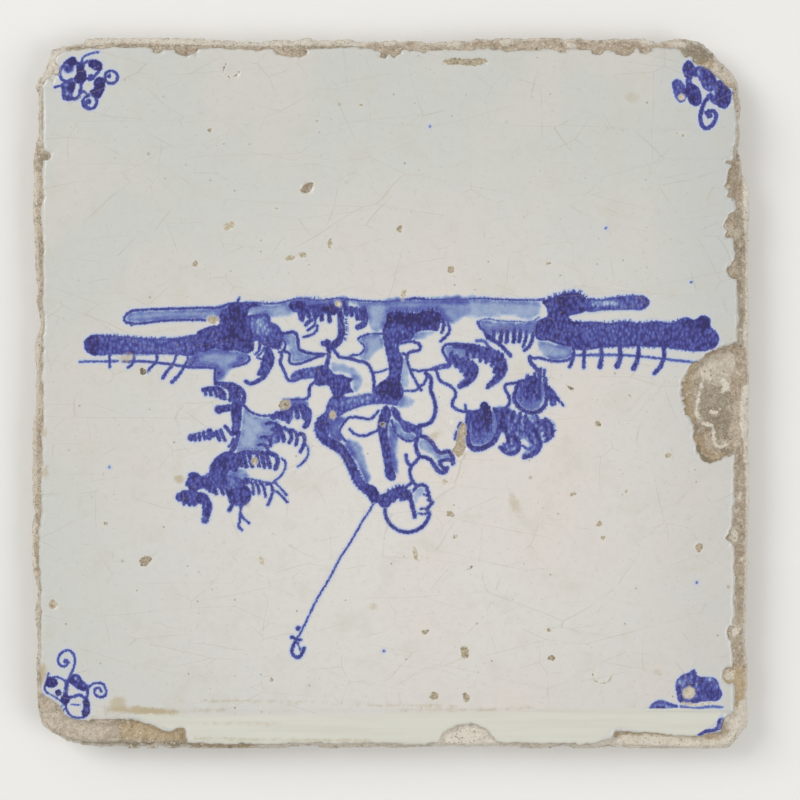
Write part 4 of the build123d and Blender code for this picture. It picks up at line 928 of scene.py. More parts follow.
def weather_the_clay():
    """Lime, ochre and soot on the bare clay, side by side as they lie."""
    # Top side
    line(-56, 64, -52, 64.5, -45, 64.6, -36, 64.3, -26, 64, -16, 64.2, -5, 64, wide=0.75, tone=0.75,
         coat=lime)
    line(-50, 63.2, -36, 63.3, -20, 63.2, -5, 63, wide=0.13, tone=0.6, coat=soot)
    fill(-59, 63.4, -56, 64.4, -52.6, 65, -52.6, 63.6, -56, 62.7, tone=0.4, coat=soot)
    for x, y, half in (
        (21, 64.1, 1.3), (47, 64.2, 1.6), (52.5, 63.6, 1.5), (-0.3, 64, 1.2), (11.5, 63.6, 1.4),
        (33, 63.4, 1),
    ):
        oval(x, y, half, 0.5, tone=0.8, coat=lime)
    fill(53.5, 61.5, 55, 60, 58, 60.5, 59.5, 62, 57, 64.5, 53.6, 64.5, tone=0.5, coat=soot)
    oval(57.2, 60.2, 1.3, 0.6, -30, tone=0.7, coat=ochre)
    fill(58.5, 58.6, 60, 57.4, 62, 56.4, 63.4, 57.6, 61.5, 59.6, 59.6, 60.6, tone=0.55, coat=lime)
    # Right side
    line(65.3, 41, 65.2, 36, 65.3, 30, wide=0.8, tone=0.95, coat=lime)
    line(65.6, 28, 65.4, 20, 65.3, 12, 65.9, 2, 65.7, -3, wide=0.5, tone=0.95, coat=lime)
    line(65.5, -3, 65.4, -12, wide=0.9, tone=0.95, coat=lime)
    line(65.4, -13, 65.5, -24, 65.2, -40, 65.2, -49, wide=0.55, tone=0.85, coat=lime)
    line(63.4, 45, 63.4, 50, 63.4, 55, wide=0.4, tone=0.7, coat=lime)
    line(63.6, 33, 63.3, 26, 63.6, 20, 63.8, 12, wide=0.7, tone=0.22, coat=soot)
    line(62.4, -14, 62.3, -30, 62.6, -44, wide=0.5, tone=0.3, coat=lime)
    fill(57, 5, 60, 7.4, 62.4, 7, 62, 3, 60, 1.4, 57.4, 2.6, tone=0.42, coat=lime)
    fill(56.4, 3, 58, 2.6, 61.5, 1, 62, -5, 61, -9, 59, -7.5, 56.6, -5.4, 56, -1, tone=0.4, coat=soot)
    line(60.4, -10.4, 61.6, -10.6, 61.8, -12, wide=0.5, tone=0.5, coat=soot)
    line(60.6, 2.2, 61.5, 1, 60.8, 0.6, wide=0.5, tone=0.9, coat=lime)
    oval(59, -3.6, 0.6, 0.5, tone=0.9, coat=lime)
    line(56.3, 5, 57, 3, 56.3, 0, 56, -4, 57.5, -5.6, 58.7, -6, 58.8, -8, 59.7, -9.8, 61.2, -9.3, wide=0.2,
         tone=0.85, coat=lime)
    line(56, 6.6, 54.4, 4.4, 53.6, 2, 53.4, 0, 53.9, -3, 54.6, -5, wide=0.8, tone=0.6, coat=ochre)
    line(55.8, -8.6, 57, -11, 58.6, -12, 60.6, -11.4, wide=0.8, tone=0.55, coat=ochre)
    line(55.6, -10, 56.8, -11.9, 58.8, -13, 60.8, -12.4, wide=0.7, tone=0.6, coat=soot)
    line(53, 3.6, 52.9, 0.4, 53.4, -3.2, wide=0.3, tone=0.4, coat=soot)
    line(64.9, 0.9, 64.6, -1, 64.5, -3.4, 64.5, -6.4, 64.9, -8, wide=0.6, tone=0.95, coat=lime)
    line(64.8, 12.6, 64.7, 10.6, 64.9, 8.6, wide=0.4, tone=0.9, coat=lime)
    for x, y, wide, tall in (
        (63.7, -18.8, 0.45, 0.7), (62.7, -21.3, 0.7, 0.45), (62.6, -25.9, 0.6, 1.2), (62.8, -43.6, 0.7, 0.9),
    ):
        oval(x, y, wide, tall, tone=0.85, coat=lime)
    # Right corner and foot
    oval(62.4, -59.4, 1.6, 2.1, tone=0.75, coat=lime)
    fill(60, -50.6, 62.5, -50, 65, -50, 65.4, -58.6, 62, -58, 62.3, -54.6, 60.4, -52.8, tone=0.7,
         coat=ochre)
    oval(61.6, -51.4, 1, 0.9, tone=0.75, coat=lime)
    oval(61.9, -52.1, 0.3, 0.2, tone=0.6, coat=soot)
    oval(61.1, -51.2, 0.2, 0.3, tone=0.6, coat=soot)
    line(37.5, -64, 45, -63.4, 54, -63.6, 60.6, -64, 64, -61, 64.6, -57, wide=1.1, tone=0.78, coat=lime)
    line(37.5, -63.4, 46, -62.6, 55, -63, 60, -63.6, wide=0.8, tone=0.6, coat=ochre)
    line(56, -62.4, 58.6, -62.2, 60.6, -60.9, wide=0.25, tone=0.85, coat=ochre)
    line(44, -61.6, 50, -62, 55, -62.6, 58.6, -62.6, wide=0.28, tone=0.5, coat=ochre)
    foot_patch = (8, -66, 8.6, -62.6, 12, -59.8, 15.4, -59.6, 18.2, -61, 19.8, -64, 19.8, -66)
    fill(*foot_patch, tone=0.95, coat=lime)
    fill(*foot_patch, tone=0.35, coat=ochre)
    line(-24, -64.4, -8, -64, 8, -64, 22, -64.2, 36, -64.6, wide=0.5, tone=0.6, coat=lime)
    line(-36, -64.2, -30, -64.3, -25, -64.4, wide=0.6, tone=0.6, coat=ochre)
    line(-55.5, -64.2, -50, -64, -45, -64.2, -40, -64.1, -37, -64.4, wide=0.75, tone=0.5, coat=soot)
    line(-36, -64.3, -28, -64.1, -20, -64.4, wide=0.45, tone=0.45, coat=soot)
    # Left corners and side
    fill(-62.8, 56.6, -60.8, 57.8, -58.4, 62, -60.6, 62.8, -62.8, 61, -64.2, 57.6, tone=0.75, coat=lime)
    fill(-48.8, -59, -46, -59, -43, -60.2, -41, -61.2, -39, -60.6, -36.6, -60.6, -36.6, -63, -40, -63.4,
         -45, -63.2, -49, -62.4, tone=0.6, coat=ochre)
    fill(-62, -55.6, -59.4, -58.8, -54.6, -60, -50, -60.6, -49.6, -62.8, -56, -63.4, -61, -62, -63.8, -58.6,
         tone=0.22, coat=lime)
    line(-64.2, -54, -62.4, -55.4, -60.2, -57, -59, -58.8, -56, -60, wide=0.4, tone=0.6, coat=lime)
    line(-64.6, -50, -64.8, -36, wide=0.7, tone=0.4, coat=lime)
    line(-65.4, -31, -66, -28, -65.6, -24, wide=0.9, tone=0.8, coat=lime)
    line(-65.2, -18, -65.3, -6, -64.8, 6, -64, 14, wide=0.7, tone=0.5, coat=lime)
    line(-64.7, 20, -65.2, 32, -65.2, 41, wide=0.7, tone=0.45, coat=lime)
    line(-64.4, 46, -64.4, 54, -63.2, 60, -60, 63, wide=0.8, tone=0.5, coat=lime)
    line(-63.8, 26.8, -63.7, 24, wide=0.3, tone=0.5, coat=soot)
    oval(-63.1, 42.8, 1, 0.9, tone=0.4, coat=soot)


for paint in (
    paint_ground, paint_left_bars, paint_left_clump, paint_tree, paint_hanging_leaves, paint_rocks,
    paint_legs, paint_coat, curl_the_coat, paint_arm, paint_head, paint_crook, paint_bushes,
    paint_right_bars, paint_pods, paint_top_left_corner, paint_top_right_corner, paint_bottom_left_corner,
    paint_bottom_right_corner, wear_the_face, weather_the_clay,
):
    paint()

# Where the outline lost or gained a sliver, and the made-good strip along the foot
fill(52.8, 63, 53.2, 61.3, 54.7, 61, 55.6, 59.9, 56.9, 59.5, 57.9, 59, 59.7, 57.3, 61.9, 55.6, 65, 57,
     60, 64, coat=lost)
fill(52, 64.7, 54.1, 64.5, 56.4, 63.9, 57.9, 62.3, 59.4, 61, 60.7, 60, 62.1, 58.7, 63.2, 56.6, 63.5, 55,
     63.4, 50, 58, 52, 50, 60, coat=added)
fill(60, -58, 64.9, -55.3, 65.1, -58, 64.9, -60.6, 63.7, -61.9, 62.7, -63.7, 60.7, -64.9, 56, -64.9,
     56, -60, coat=added)
fill(-64.3, -54, -64.2, -57, -63.9, -60.2, -61.4, -62.2, -56.2, -63.8, -52, -64.4, -52, -58, -60, -54,
     coat=added)
fill(-54.6, -59.6, -52.2, -59.3, -50.2, -59.4, -48.2, -59.3, -48, -61.5, -53.4, -61.5, coat=lost)
fill(-45.8, -58.9, -30, -58.7, -10, -58.4, 10, -58.1, 30, -57.6, 48, -57.4, 57.5, -57.6, 60, -58,
     59.4, -59.4, 57.4, -61, 55.6, -62.2, 46, -61.6, 40.5, -60.9, 38.6, -62.6, 37, -66, 0, -66.5, -36, -66,
     -37.2, -62, -40, -61, -43, -60, tone=1, coat=mended)


def tile_tops():
    """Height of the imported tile's upper surface over the grid, and below 0 outside it."""
    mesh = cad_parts["tile"].data
    surface = BVHTree.FromPolygons([v.co for v in mesh.vertices], [f.vertices for f in mesh.polygons])
    tops = np.full(GRID_X.shape, -1.0)
    above = 2 * FACE * MM
    for i, x in enumerate(axis * MM):
        for j, y in enumerate(axis * MM):
            hit = surface.ray_cast((x, y, above), (0, 0, -1))[0]
            if hit:
                tops[i, j] = hit.z / MM
    return tops


def spread(start, allowed):
    """Everything that can be reached from the start through allowed points."""
    reached = start & allowed
    while True:
        grown = np.logical_or.reduce((*neighbours(reached), reached)) & allowed
        if (grown == reached).all():
            return reached
        reached = grown


def edge_distance(inside, reach):
    """Signed distance to the edge of a region of the grid, positive inside it."""
    steps = int(reach / CELL)

    def to_nearest(goal):
        start = np.where(goal, 0.0, steps)
        along = start.copy()
        for k in range(1, steps):
            along[k:] = np.minimum(along[k:], start[:-k] + k)
            along[:-k] = np.minimum(along[:-k], start[k:] + k)
        squared = along**2
        total = squared.copy()
        for k in range(1, steps):
            total[:, k:] = np.minimum(total[:, k:], squared[:, :-k] + k * k)
            total[:, :-k] = np.minimum(total[:, :-k], squared[:, k:] + k * k)
        return np.sqrt(total) * CELL

    return np.where(inside, to_nearest(~inside) - CELL / 2, CELL / 2 - to_nearest(inside))


def filled_out(field, known, passes):
    """The field carried a little way past the region where it is known."""
    field = np.where(known, field, 0.0)
    for _ in range(passes):
        total = sum(neighbours(field * known))
        count = sum(neighbours(known.astype(float)))
        new = ~known & (count > 0)
        field = np.where(new, total / np.maximum(count, 1), field)
        known = known | new
    return field


# Where the tile ends, ragged with broken clay
tops = tile_tops()
on_tile = tops >= 0
rim = blurred(edge_distance(on_tile, 7.0), 2)
rim = roughened(rim + 0.24, (0.16, 3.1, 1), (0.13, 1.2, 2), (0.12, 0.55, 3))
# Lumps of mortar and torn clay that stand out of the edge
lumps = np.full(GRID_X.shape, -REACH)
crumbly = 0.12 * rough(0.7, 13)
for x, y, wide, tall in (
    (-63.5, 56.7, 0.95, 1.1), (-59.6, 62.9, 0.7, 0.5), (-57.3, 63.1, 0.9, 0.6), (-54.8, 64, 1.2, 0.7),
    (-64.8, -28.6, 1.1, 3), (65, -4.6, 0.5, 2.2), (65, 34.5, 0.6, 3.6), (64.9, 22, 0.5, 2.5),
    (64.8, -24, 0.5, 2.6), (-47, -64.6, 1.2, 0.5), (-43.4, -64.7, 0.9, 0.45), (-39.8, -64.6, 1.1, 0.5),
    (-52.6, -64.3, 0.8, 0.4),
):
    lumps = np.maximum(lumps, (1 - off_oval(WHOLE, x, y, wide, tall)) * min(wide, tall) + crumbly)
rim = np.maximum(rim, lumps)
gained = roughened(added.inside, (0.2, 0.8, 15))
rim = np.maximum(rim, np.where(added.inside > -REACH, gained, rim))
tops = filled_out(tops, on_tile, 8)

# Where the glaze ends
level = (tops > LOWEST_GLAZE) & on_tile
level = ~spread(~on_tile, ~level)
glaze = blurred(edge_distance(level, 3.0), 1)
glaze = roughened(glaze, (0.2, 2.3, 4), (0.13, 0.9, 5), (0.07, 0.45, 6))
# Bites out of the glaze edge where the clay shows
bitten = 0.5 * rough(0.9, 16)
for x, y, wide, tall in (
    (-37, 62.6, 1.3, 0.8), (-18, 62.6, 1.9, 1.1), (-0.4, 62.5, 2.2, 1.2), (5, 62.8, 1.5, 0.8),
    (31, 62.4, 0.9, 0.6), (37.7, 62.4, 0.8, 0.9), (42.8, 62.2, 1.6, 0.8), (46.4, 62.4, 1.1, 0.6),
    (-62.9, 43, 1.1, 0.9), (-42.3, 62.7, 0.5, 0.4), (62.3, 38.6, 1.4, 2.6), (62.4, 30.2, 1.2, 2),
    (62.4, -44.4, 1, 1.3), (-19.6, 62.4, 0.8, 0.5), (62.5, 22, 0.8, 1.4), (62.4, -26, 0.9, 1.3),
    (-62.1, 60, 1.55, 2.8),
):
    glaze = np.minimum(glaze, (off_oval(WHOLE, x, y, wide, tall) - 1 + bitten) * min(wide, tall))
# More is worn off along the right side and the left half of the top, and it is torn round the flake
glaze = glaze - (0.15 + 0.25 * rough(1.5, 17)) * eased(60, 61.5, GRID_X) * eased(48, 46, GRID_Y)
glaze = glaze + 0.3 * rough(0.5, 18) * eased(13.5, 12, np.hypot(GRID_X - 60, GRID_Y + 1))
glaze = glaze - 0.4 * eased(-58, -50, GRID_X) * eased(-8, -16, GRID_X) * eased(55, 60, GRID_Y)
glaze = np.minimum(glaze, rim - 0.3)
torn = np.where(lost.inside > -REACH, 0.2 * rough(0.6, 14) - lost.inside, glaze)
glaze = np.minimum(glaze, torn)

# How high the glaze lies: softly wavy, rounded at its edge and sunk where it is knocked off
knock = eased(-0.12, 0.3, chip.inside + 0.12 * rough(0.5, 7))
glaze_top = roughened(np.maximum(tops, LOWEST_GLAZE) - 0.05, (0.025, 7, 8), (0.012, 1.6, 9))
glaze_top = glaze_top - EDGE_ROUNDING * (1 - eased(0, 0.7, glaze)) - CHIP_DEPTH * knock

# How high the clay lies: broken where it is bare, and always a little under the glaze
bare = eased(0.1, -0.3, glaze)
broken = roughened(0.12, (0.24, 2.3, 10), (0.24, 1.0, 11), (0.2, 0.5, 12))
clay_top = tops - GLAZE_THICKNESS - 0.02 - np.maximum(broken, -0.3) * bare
clay_top = clay_top + (GLAZE_THICKNESS - 0.1) * eased(-0.4, -2.2, glaze) * eased(0, 1.2, rim)
clay_top = np.where(glaze > 0, np.minimum(clay_top, glaze_top - 0.12), clay_top)
clay_top = np.minimum(clay_top + 0.35 * eased(0, 0.5, lumps), FACE - 0.1)


def sampled(field, x, y):
    """Values of a grid field at any places."""
    place_x = np.clip((x - axis[0]) / CELL, 0, CELLS - 1e-6)
    place_y = np.clip((y - axis[0]) / CELL, 0, CELLS - 1e-6)
    i, j = place_x.astype(int), place_y.astype(int)
    u, v = place_x - i, place_y - j
    return (
        field[i, j] * (1 - u) * (1 - v)
        + field[i + 1, j] * u * (1 - v)
        + field[i, j + 1] * (1 - u) * v
        + field[i + 1, j + 1] * u * v
    )


def blocks(field, size):
    """The grid's cells gathered into squares of that many cells a side."""
    count = CELLS // size
    return field.reshape(count, size, count, size)


def over_cells(squares, size):
    """A value for each square, spread over its cells."""
    return squares.repeat(size, axis=0).repeat(size, axis=1)


def largest_cells(coarsest, *rules):
    """The largest cell allowed at each place; a rule gives where it holds and its size."""
    need = np.full((CELLS, CELLS), coarsest)
    for close, size in rules:
        close = np.logical_or.reduce(corners(close))
        need[close] = np.minimum(need[close], size)
    return need


def cell_sizes(need):
    """Square cells no larger than needed; beside each other they differ by one halving at most."""
    size = np.full((CELLS, CELLS), COARSE)
    step = COARSE
    while step > 1:
        split = over_cells(blocks(need, step).min(axis=(1, 3)) < step, step)
        size[(size == step) & split] = step // 2
        step //= 2
    uneven = True
    while uneven:
        uneven = False
        step = COARSE
        while step > 2:
            around = np.minimum.reduce(neighbours(size, mode="edge"))
            too_big = (size == step) & (around < step // 2)
            if too_big.any():
                uneven = True
                split = over_cells(blocks(too_big, step).any(axis=(1, 3)), step)
                size[split & (size == step)] = step // 2
            step //= 2
    return size


def kept_cells(edge):
    """The finest cells inside an edge, as one region with no holes and no pinched corners."""
    middle = sum(corners(edge)) / 4
    kept = spread(middle > 1.5, middle > 0)
    kept = ~spread(middle < -1.0, ~kept)
    for _ in range(6):
        a, b, c, d = corners(kept)
        pinched = (a & d & ~b & ~c) | (b & c & ~a & ~d)
        if not pinched.any():
            break
        i, j = np.nonzero(pinched)
        for near_i, near_j in ((i, j), (i + 1, j), (i, j + 1), (i + 1, j + 1)):
            kept[near_i, near_j] = True
    return kept


def edge_loop(kept):
    """The grid points round the kept cells, in order, anticlockwise."""
    follow = {}
    sides = (((0, 1), (0, 0)), ((1, 0), (1, 1)), ((0, 0), (1, 0)), ((1, 1), (0, 1)))
    for neighbour, (first, second) in zip(neighbours(kept), sides):
        for i, j in zip(*np.nonzero(kept & ~neighbour)):
            follow[(i + first[0], j + first[1])] = (i + second[0], j + second[1])
    start = min(follow)
    loop = [start]
    while follow[loop[-1]] != start:
        loop.append(follow[loop[-1]])
    return loop


def sheet(edge, need):
    """A level mesh inside an edge, fine where needed: places, faces and the loop round it."""
    kept = kept_cells(edge)
    size = cell_sizes(need)
    width = CELLS + 1
    corner = np.zeros(width * width, bool)
    cells = []
    step = COARSE
    while step >= 1:
        first = size[::step, ::step] == step
        i, j = np.nonzero(first & kept[step // 2 :: step, step // 2 :: step])
        at = i * step * width + j * step
        ring = np.stack([at, at + step * width, at + step * width + step, at + step], 1)
        corner[ring.ravel()] = True
        cells.append((step, ring))
        step //= 2
    faces = []
    for step, ring in cells:
        if step == 1:
            faces += ring.tolist()
            continue
        half = step // 2
        middles = ring + np.array([half * width, half, -half * width, -half])
        split = corner[middles].any(axis=1)
        faces += ring[~split].tolist()
        for points, mids in zip(ring[split], middles[split]):
            centre = int(points[0] + half * width + half)
            around = []
            for point, mid in zip(points, mids):
                around.append(int(point))
                if corner[mid]:
                    around.append(int(mid))
            faces += [[centre, a, b] for a, b in zip(around, around[1:] + around[:1])]
    used = sorted({point for face in faces for point in face})
    number = {point: k for k, point in enumerate(used)}
    faces = [[number[point] for point in face] for face in faces]
    used = np.array(used)
    x, y = axis[used // width], axis[used % width]
    loop = np.array([number[i * width + j] for i, j in edge_loop(kept)])
    # The outermost points slide onto the edge
    slope_x, slope_y = np.gradient(edge, CELL)
    for _ in range(2):
        distance = sampled(edge, x[loop], y[loop])
        lean_x, lean_y = sampled(slope_x, x[loop], y[loop]), sampled(slope_y, x[loop], y[loop])
        share = distance / np.maximum(lean_x**2 + lean_y**2, 0.3)
        x[loop] -= np.clip(share * lean_x, -0.12, 0.12)
        y[loop] -= np.clip(share * lean_y, -0.12, 0.12)
    return x, y, faces, loop


def placed(name, data):
    """A new object in the scene."""
    made = bpy.data.objects.new(name, data)
    bpy.context.scene.collection.objects.link(made)
    return made


def piece_from(name, points, faces, material):
    """A mesh object from points in millimetres."""
    mesh = bpy.data.meshes.new(name)
    mesh.from_pydata((np.asarray(points) * MM).tolist(), [], faces)
    mesh.materials.append(material)
    mesh.shade_smooth()
    return placed(name, mesh)


def coat_fields(**coats):
    """The grids of some coats, under the names that the materials read."""
    fields = {}
    for name, coat in coats.items():
        fields[f"{name}_inside"] = coat.inside
        fields[f"{name}_strength"] = coat.strength
    return fields


def add_values(piece, fields):
    """Stores values for each point of a piece, for its material."""
    for name, values in fields.items():
        attribute = piece.data.attributes.new(name, "FLOAT", "POINT")
        attribute.data.foreach_set("value", np.asarray(values, np.float32))


def band(lower, upper):
    """Faces between two loops of points, walked anticlockwise, the second one above."""
    return np.stack([lower, np.roll(lower, -1), np.roll(upper, -1), upper], 1).tolist()


def colour(red, green, blue):
    """A colour from its display values, 0 to 255."""
    def linear(value):
        share = value / 255
        return share / 12.92 if share <= 0.04045 else ((share + 0.055) / 1.055) ** 2.4

    return linear(red), linear(green), linear(blue), 1.0


class Recipe:
    """A tree of nodes, and the place on the piece that its patterns are read at."""

    def __init__(self, tree):
        self.tree = tree
        self.place = None

    def add(self, kind, inputs=None, **settings):
        """Adds a node, with its settings and inputs."""
        made = self.tree.nodes.new(kind)
        for name, value in settings.items():
            setattr(made, name, value)
        for name, value in (inputs or {}).items():
            if isinstance(value, bpy.types.NodeSocket):
                self.tree.links.new(value, made.inputs[name])
            else:
                made.inputs[name].default_value = value
        return made

    def math(self, operation, first, second=0.0, third=0.0):
        """One step of arithmetic."""
        return self.add("ShaderNodeMath", {0: first, 1: second, 2: third}, operation=operation).outputs[0]

    def times(self, first, second):
        """One value times another."""
        return self.math("MULTIPLY", first, second)

    def plus(self, first, second):
        """One value and another."""
        return self.math("ADD", first, second)

    def less(self, first, second):
        """One value less another."""
        return self.math("SUBTRACT", first, second)

    def most(self, first, second):
        """The larger of two values."""
        return self.math("MAXIMUM", first, second)

    def stir(self, value, share, base):
        """A share of one value stirred into another."""
        return self.math("MULTIPLY_ADD", value, share, base)

    def step(self, value, start, end, low_value=0.0, high_value=1.0):
        """A smooth step between two limits."""
        limits = {0: value, 1: start, 2: end, 3: low_value, 4: high_value}
        return self.add("ShaderNodeMapRange", limits, interpolation_type="SMOOTHSTEP").outputs[0]

    def blend(self, share, first, second):
        """One colour over another."""
        return self.add("ShaderNodeMix", {0: share, 6: first, 7: second}, data_type="RGBA").outputs[2]

    def tint(self, under, shown, value, start, end, most=1.0):
        """A display colour over another, as a value goes from start to end."""
        return self.blend(self.step(value, start, end, 0.0, most), under, colour(*shown))

    def lay(self, under, shown, mask, strength):
        """A display colour over another, as strongly as a mask and its strength say."""
        return self.blend(self.times(mask, strength), under, colour(*shown))

    def stored(self, name):
        """A value stored on the piece."""
        return self.add("ShaderNodeAttribute", attribute_name=name).outputs["Fac"]

    def stretched(self, scale, lean=0.0):
        """The place with its three directions scaled, and leaned over; lean is in radians."""
        inputs = {"Vector": self.place, "Rotation": (0.0, 0.0, lean), "Scale": scale}
        return self.add("ShaderNodeMapping", inputs).outputs[0]

    def grain(self, pitch, detail=2.0, roughness=0.5, place=None):
        """Noise with features about pitch millimetres across."""
        place = self.place if place is None else place
        inputs = {"Vector": place, "Scale": 1 / pitch, "Detail": detail, "Roughness": roughness}
        return self.add("ShaderNodeTexNoise", inputs).outputs["Fac"]

    def swing(self, *grain, **place):
        """The same noise, swinging either side of 0."""
        return self.less(self.grain(*grain, **place), 0.5)

    def group(self, tree, place=None, **values):
        """A shared effect, with its own values here."""
        inputs = {"Place": self.place if place is None else place, **values}
        return self.add("ShaderNodeGroup", inputs, node_tree=tree).outputs[0]

    def join(self, value, socket):
        """Joins a value to a socket."""
        self.tree.links.new(value, socket)

    def emboss(self, shader, height, strength, depth):
        """Fine relief in a surface; depth is in millimetres."""
        bump = self.add("ShaderNodeBump", {"Height": height, "Strength": strength, "Distance": depth * MM})
        self.join(bump.outputs[0], shader["Normal"])


def new_group(name, inputs):
    """An empty shader node group that reads a place and some values and puts out a mask."""
    group = bpy.data.node_groups.new(name, "ShaderNodeTree")
    group.interface.new_socket("Place", in_out="INPUT", socket_type="NodeSocketVector")
    for label in inputs:
        group.interface.new_socket(label, in_out="INPUT", socket_type="NodeSocketFloat")
    group.interface.new_socket("Mask", in_out="OUTPUT", socket_type="NodeSocketFloat")
    mix = Recipe(group)
    given = group.nodes.new("NodeGroupInput").outputs
    mix.place = given["Place"]
    return mix, given, group.nodes.new("NodeGroupOutput").inputs["Mask"]


def make_specks():
    """Scattered round specks: spacing and size in millimetres, and the share of places that has one."""
    mix, given, out = new_group("scattered_specks", ("Spacing", "Size", "Share"))
    scale = mix.math("DIVIDE", 1.0, given["Spacing"])
    cells = mix.add("ShaderNodeTexVoronoi", {"Vector": mix.place, "Scale": scale}).outputs
    distance = mix.times(cells["Distance"], given["Spacing"])
    chance = mix.add("ShaderNodeSeparateColor", {0: cells["Color"]}).outputs
    chosen = mix.math("LESS_THAN", chance[0], given["Share"])
    radius = mix.times(given["Size"], mix.plus(chance[1], 0.4))
    near_middle = mix.less(1.0, mix.step(distance, mix.times(radius, 0.5), radius))
    mix.join(mix.times(near_middle, chosen), out)
    return mix.tree


def make_hair_cracks():
    """A net of hair cracks: mesh size and line width in millimetres."""
    mix, given, out = new_group("hair_cracks", ("Spacing", "Width"))
    bend = mix.add("ShaderNodeTexNoise", {"Vector": mix.place, "Scale": 0.1, "Detail": 1.0}).outputs["Color"]
    shift = mix.add("ShaderNodeVectorMath", {0: bend, 1: (2.2, 2.2, 2.2)}, operation="MULTIPLY").outputs[0]
    bent = mix.add("ShaderNodeVectorMath", {0: mix.place, 1: shift}, operation="ADD").outputs[0]
    scale = mix.math("DIVIDE", 1.0, given["Spacing"])
    cells = mix.add("ShaderNodeTexVoronoi", {"Vector": bent, "Scale": scale}, feature="DISTANCE_TO_EDGE",
                    voronoi_dimensions="2D")
    distance = mix.times(cells.outputs["Distance"], given["Spacing"])
    crack = mix.less(1.0, mix.step(distance, 0.0, given["Width"]))
    fading = mix.step(mix.grain(6.0, 3.0, 0.6), 0.47, 0.64)
    mix.join(mix.times(crack, fading), out)
    return mix.tree


specks = make_specks()
cracks = make_hair_cracks()


def new_material(name):
    """A material, the recipe that its nodes go into, and its shader's inputs."""
    material = bpy.data.materials.new(name)
    material.use_nodes = True
    mix = Recipe(material.node_tree)
    mix.place = mix.add("ShaderNodeTexCoord").outputs["Object"]
    mix.place = mix.stretched((1 / MM, 1 / MM, 1 / MM))
    return material, mix, mix.tree.nodes["Principled BSDF"].inputs


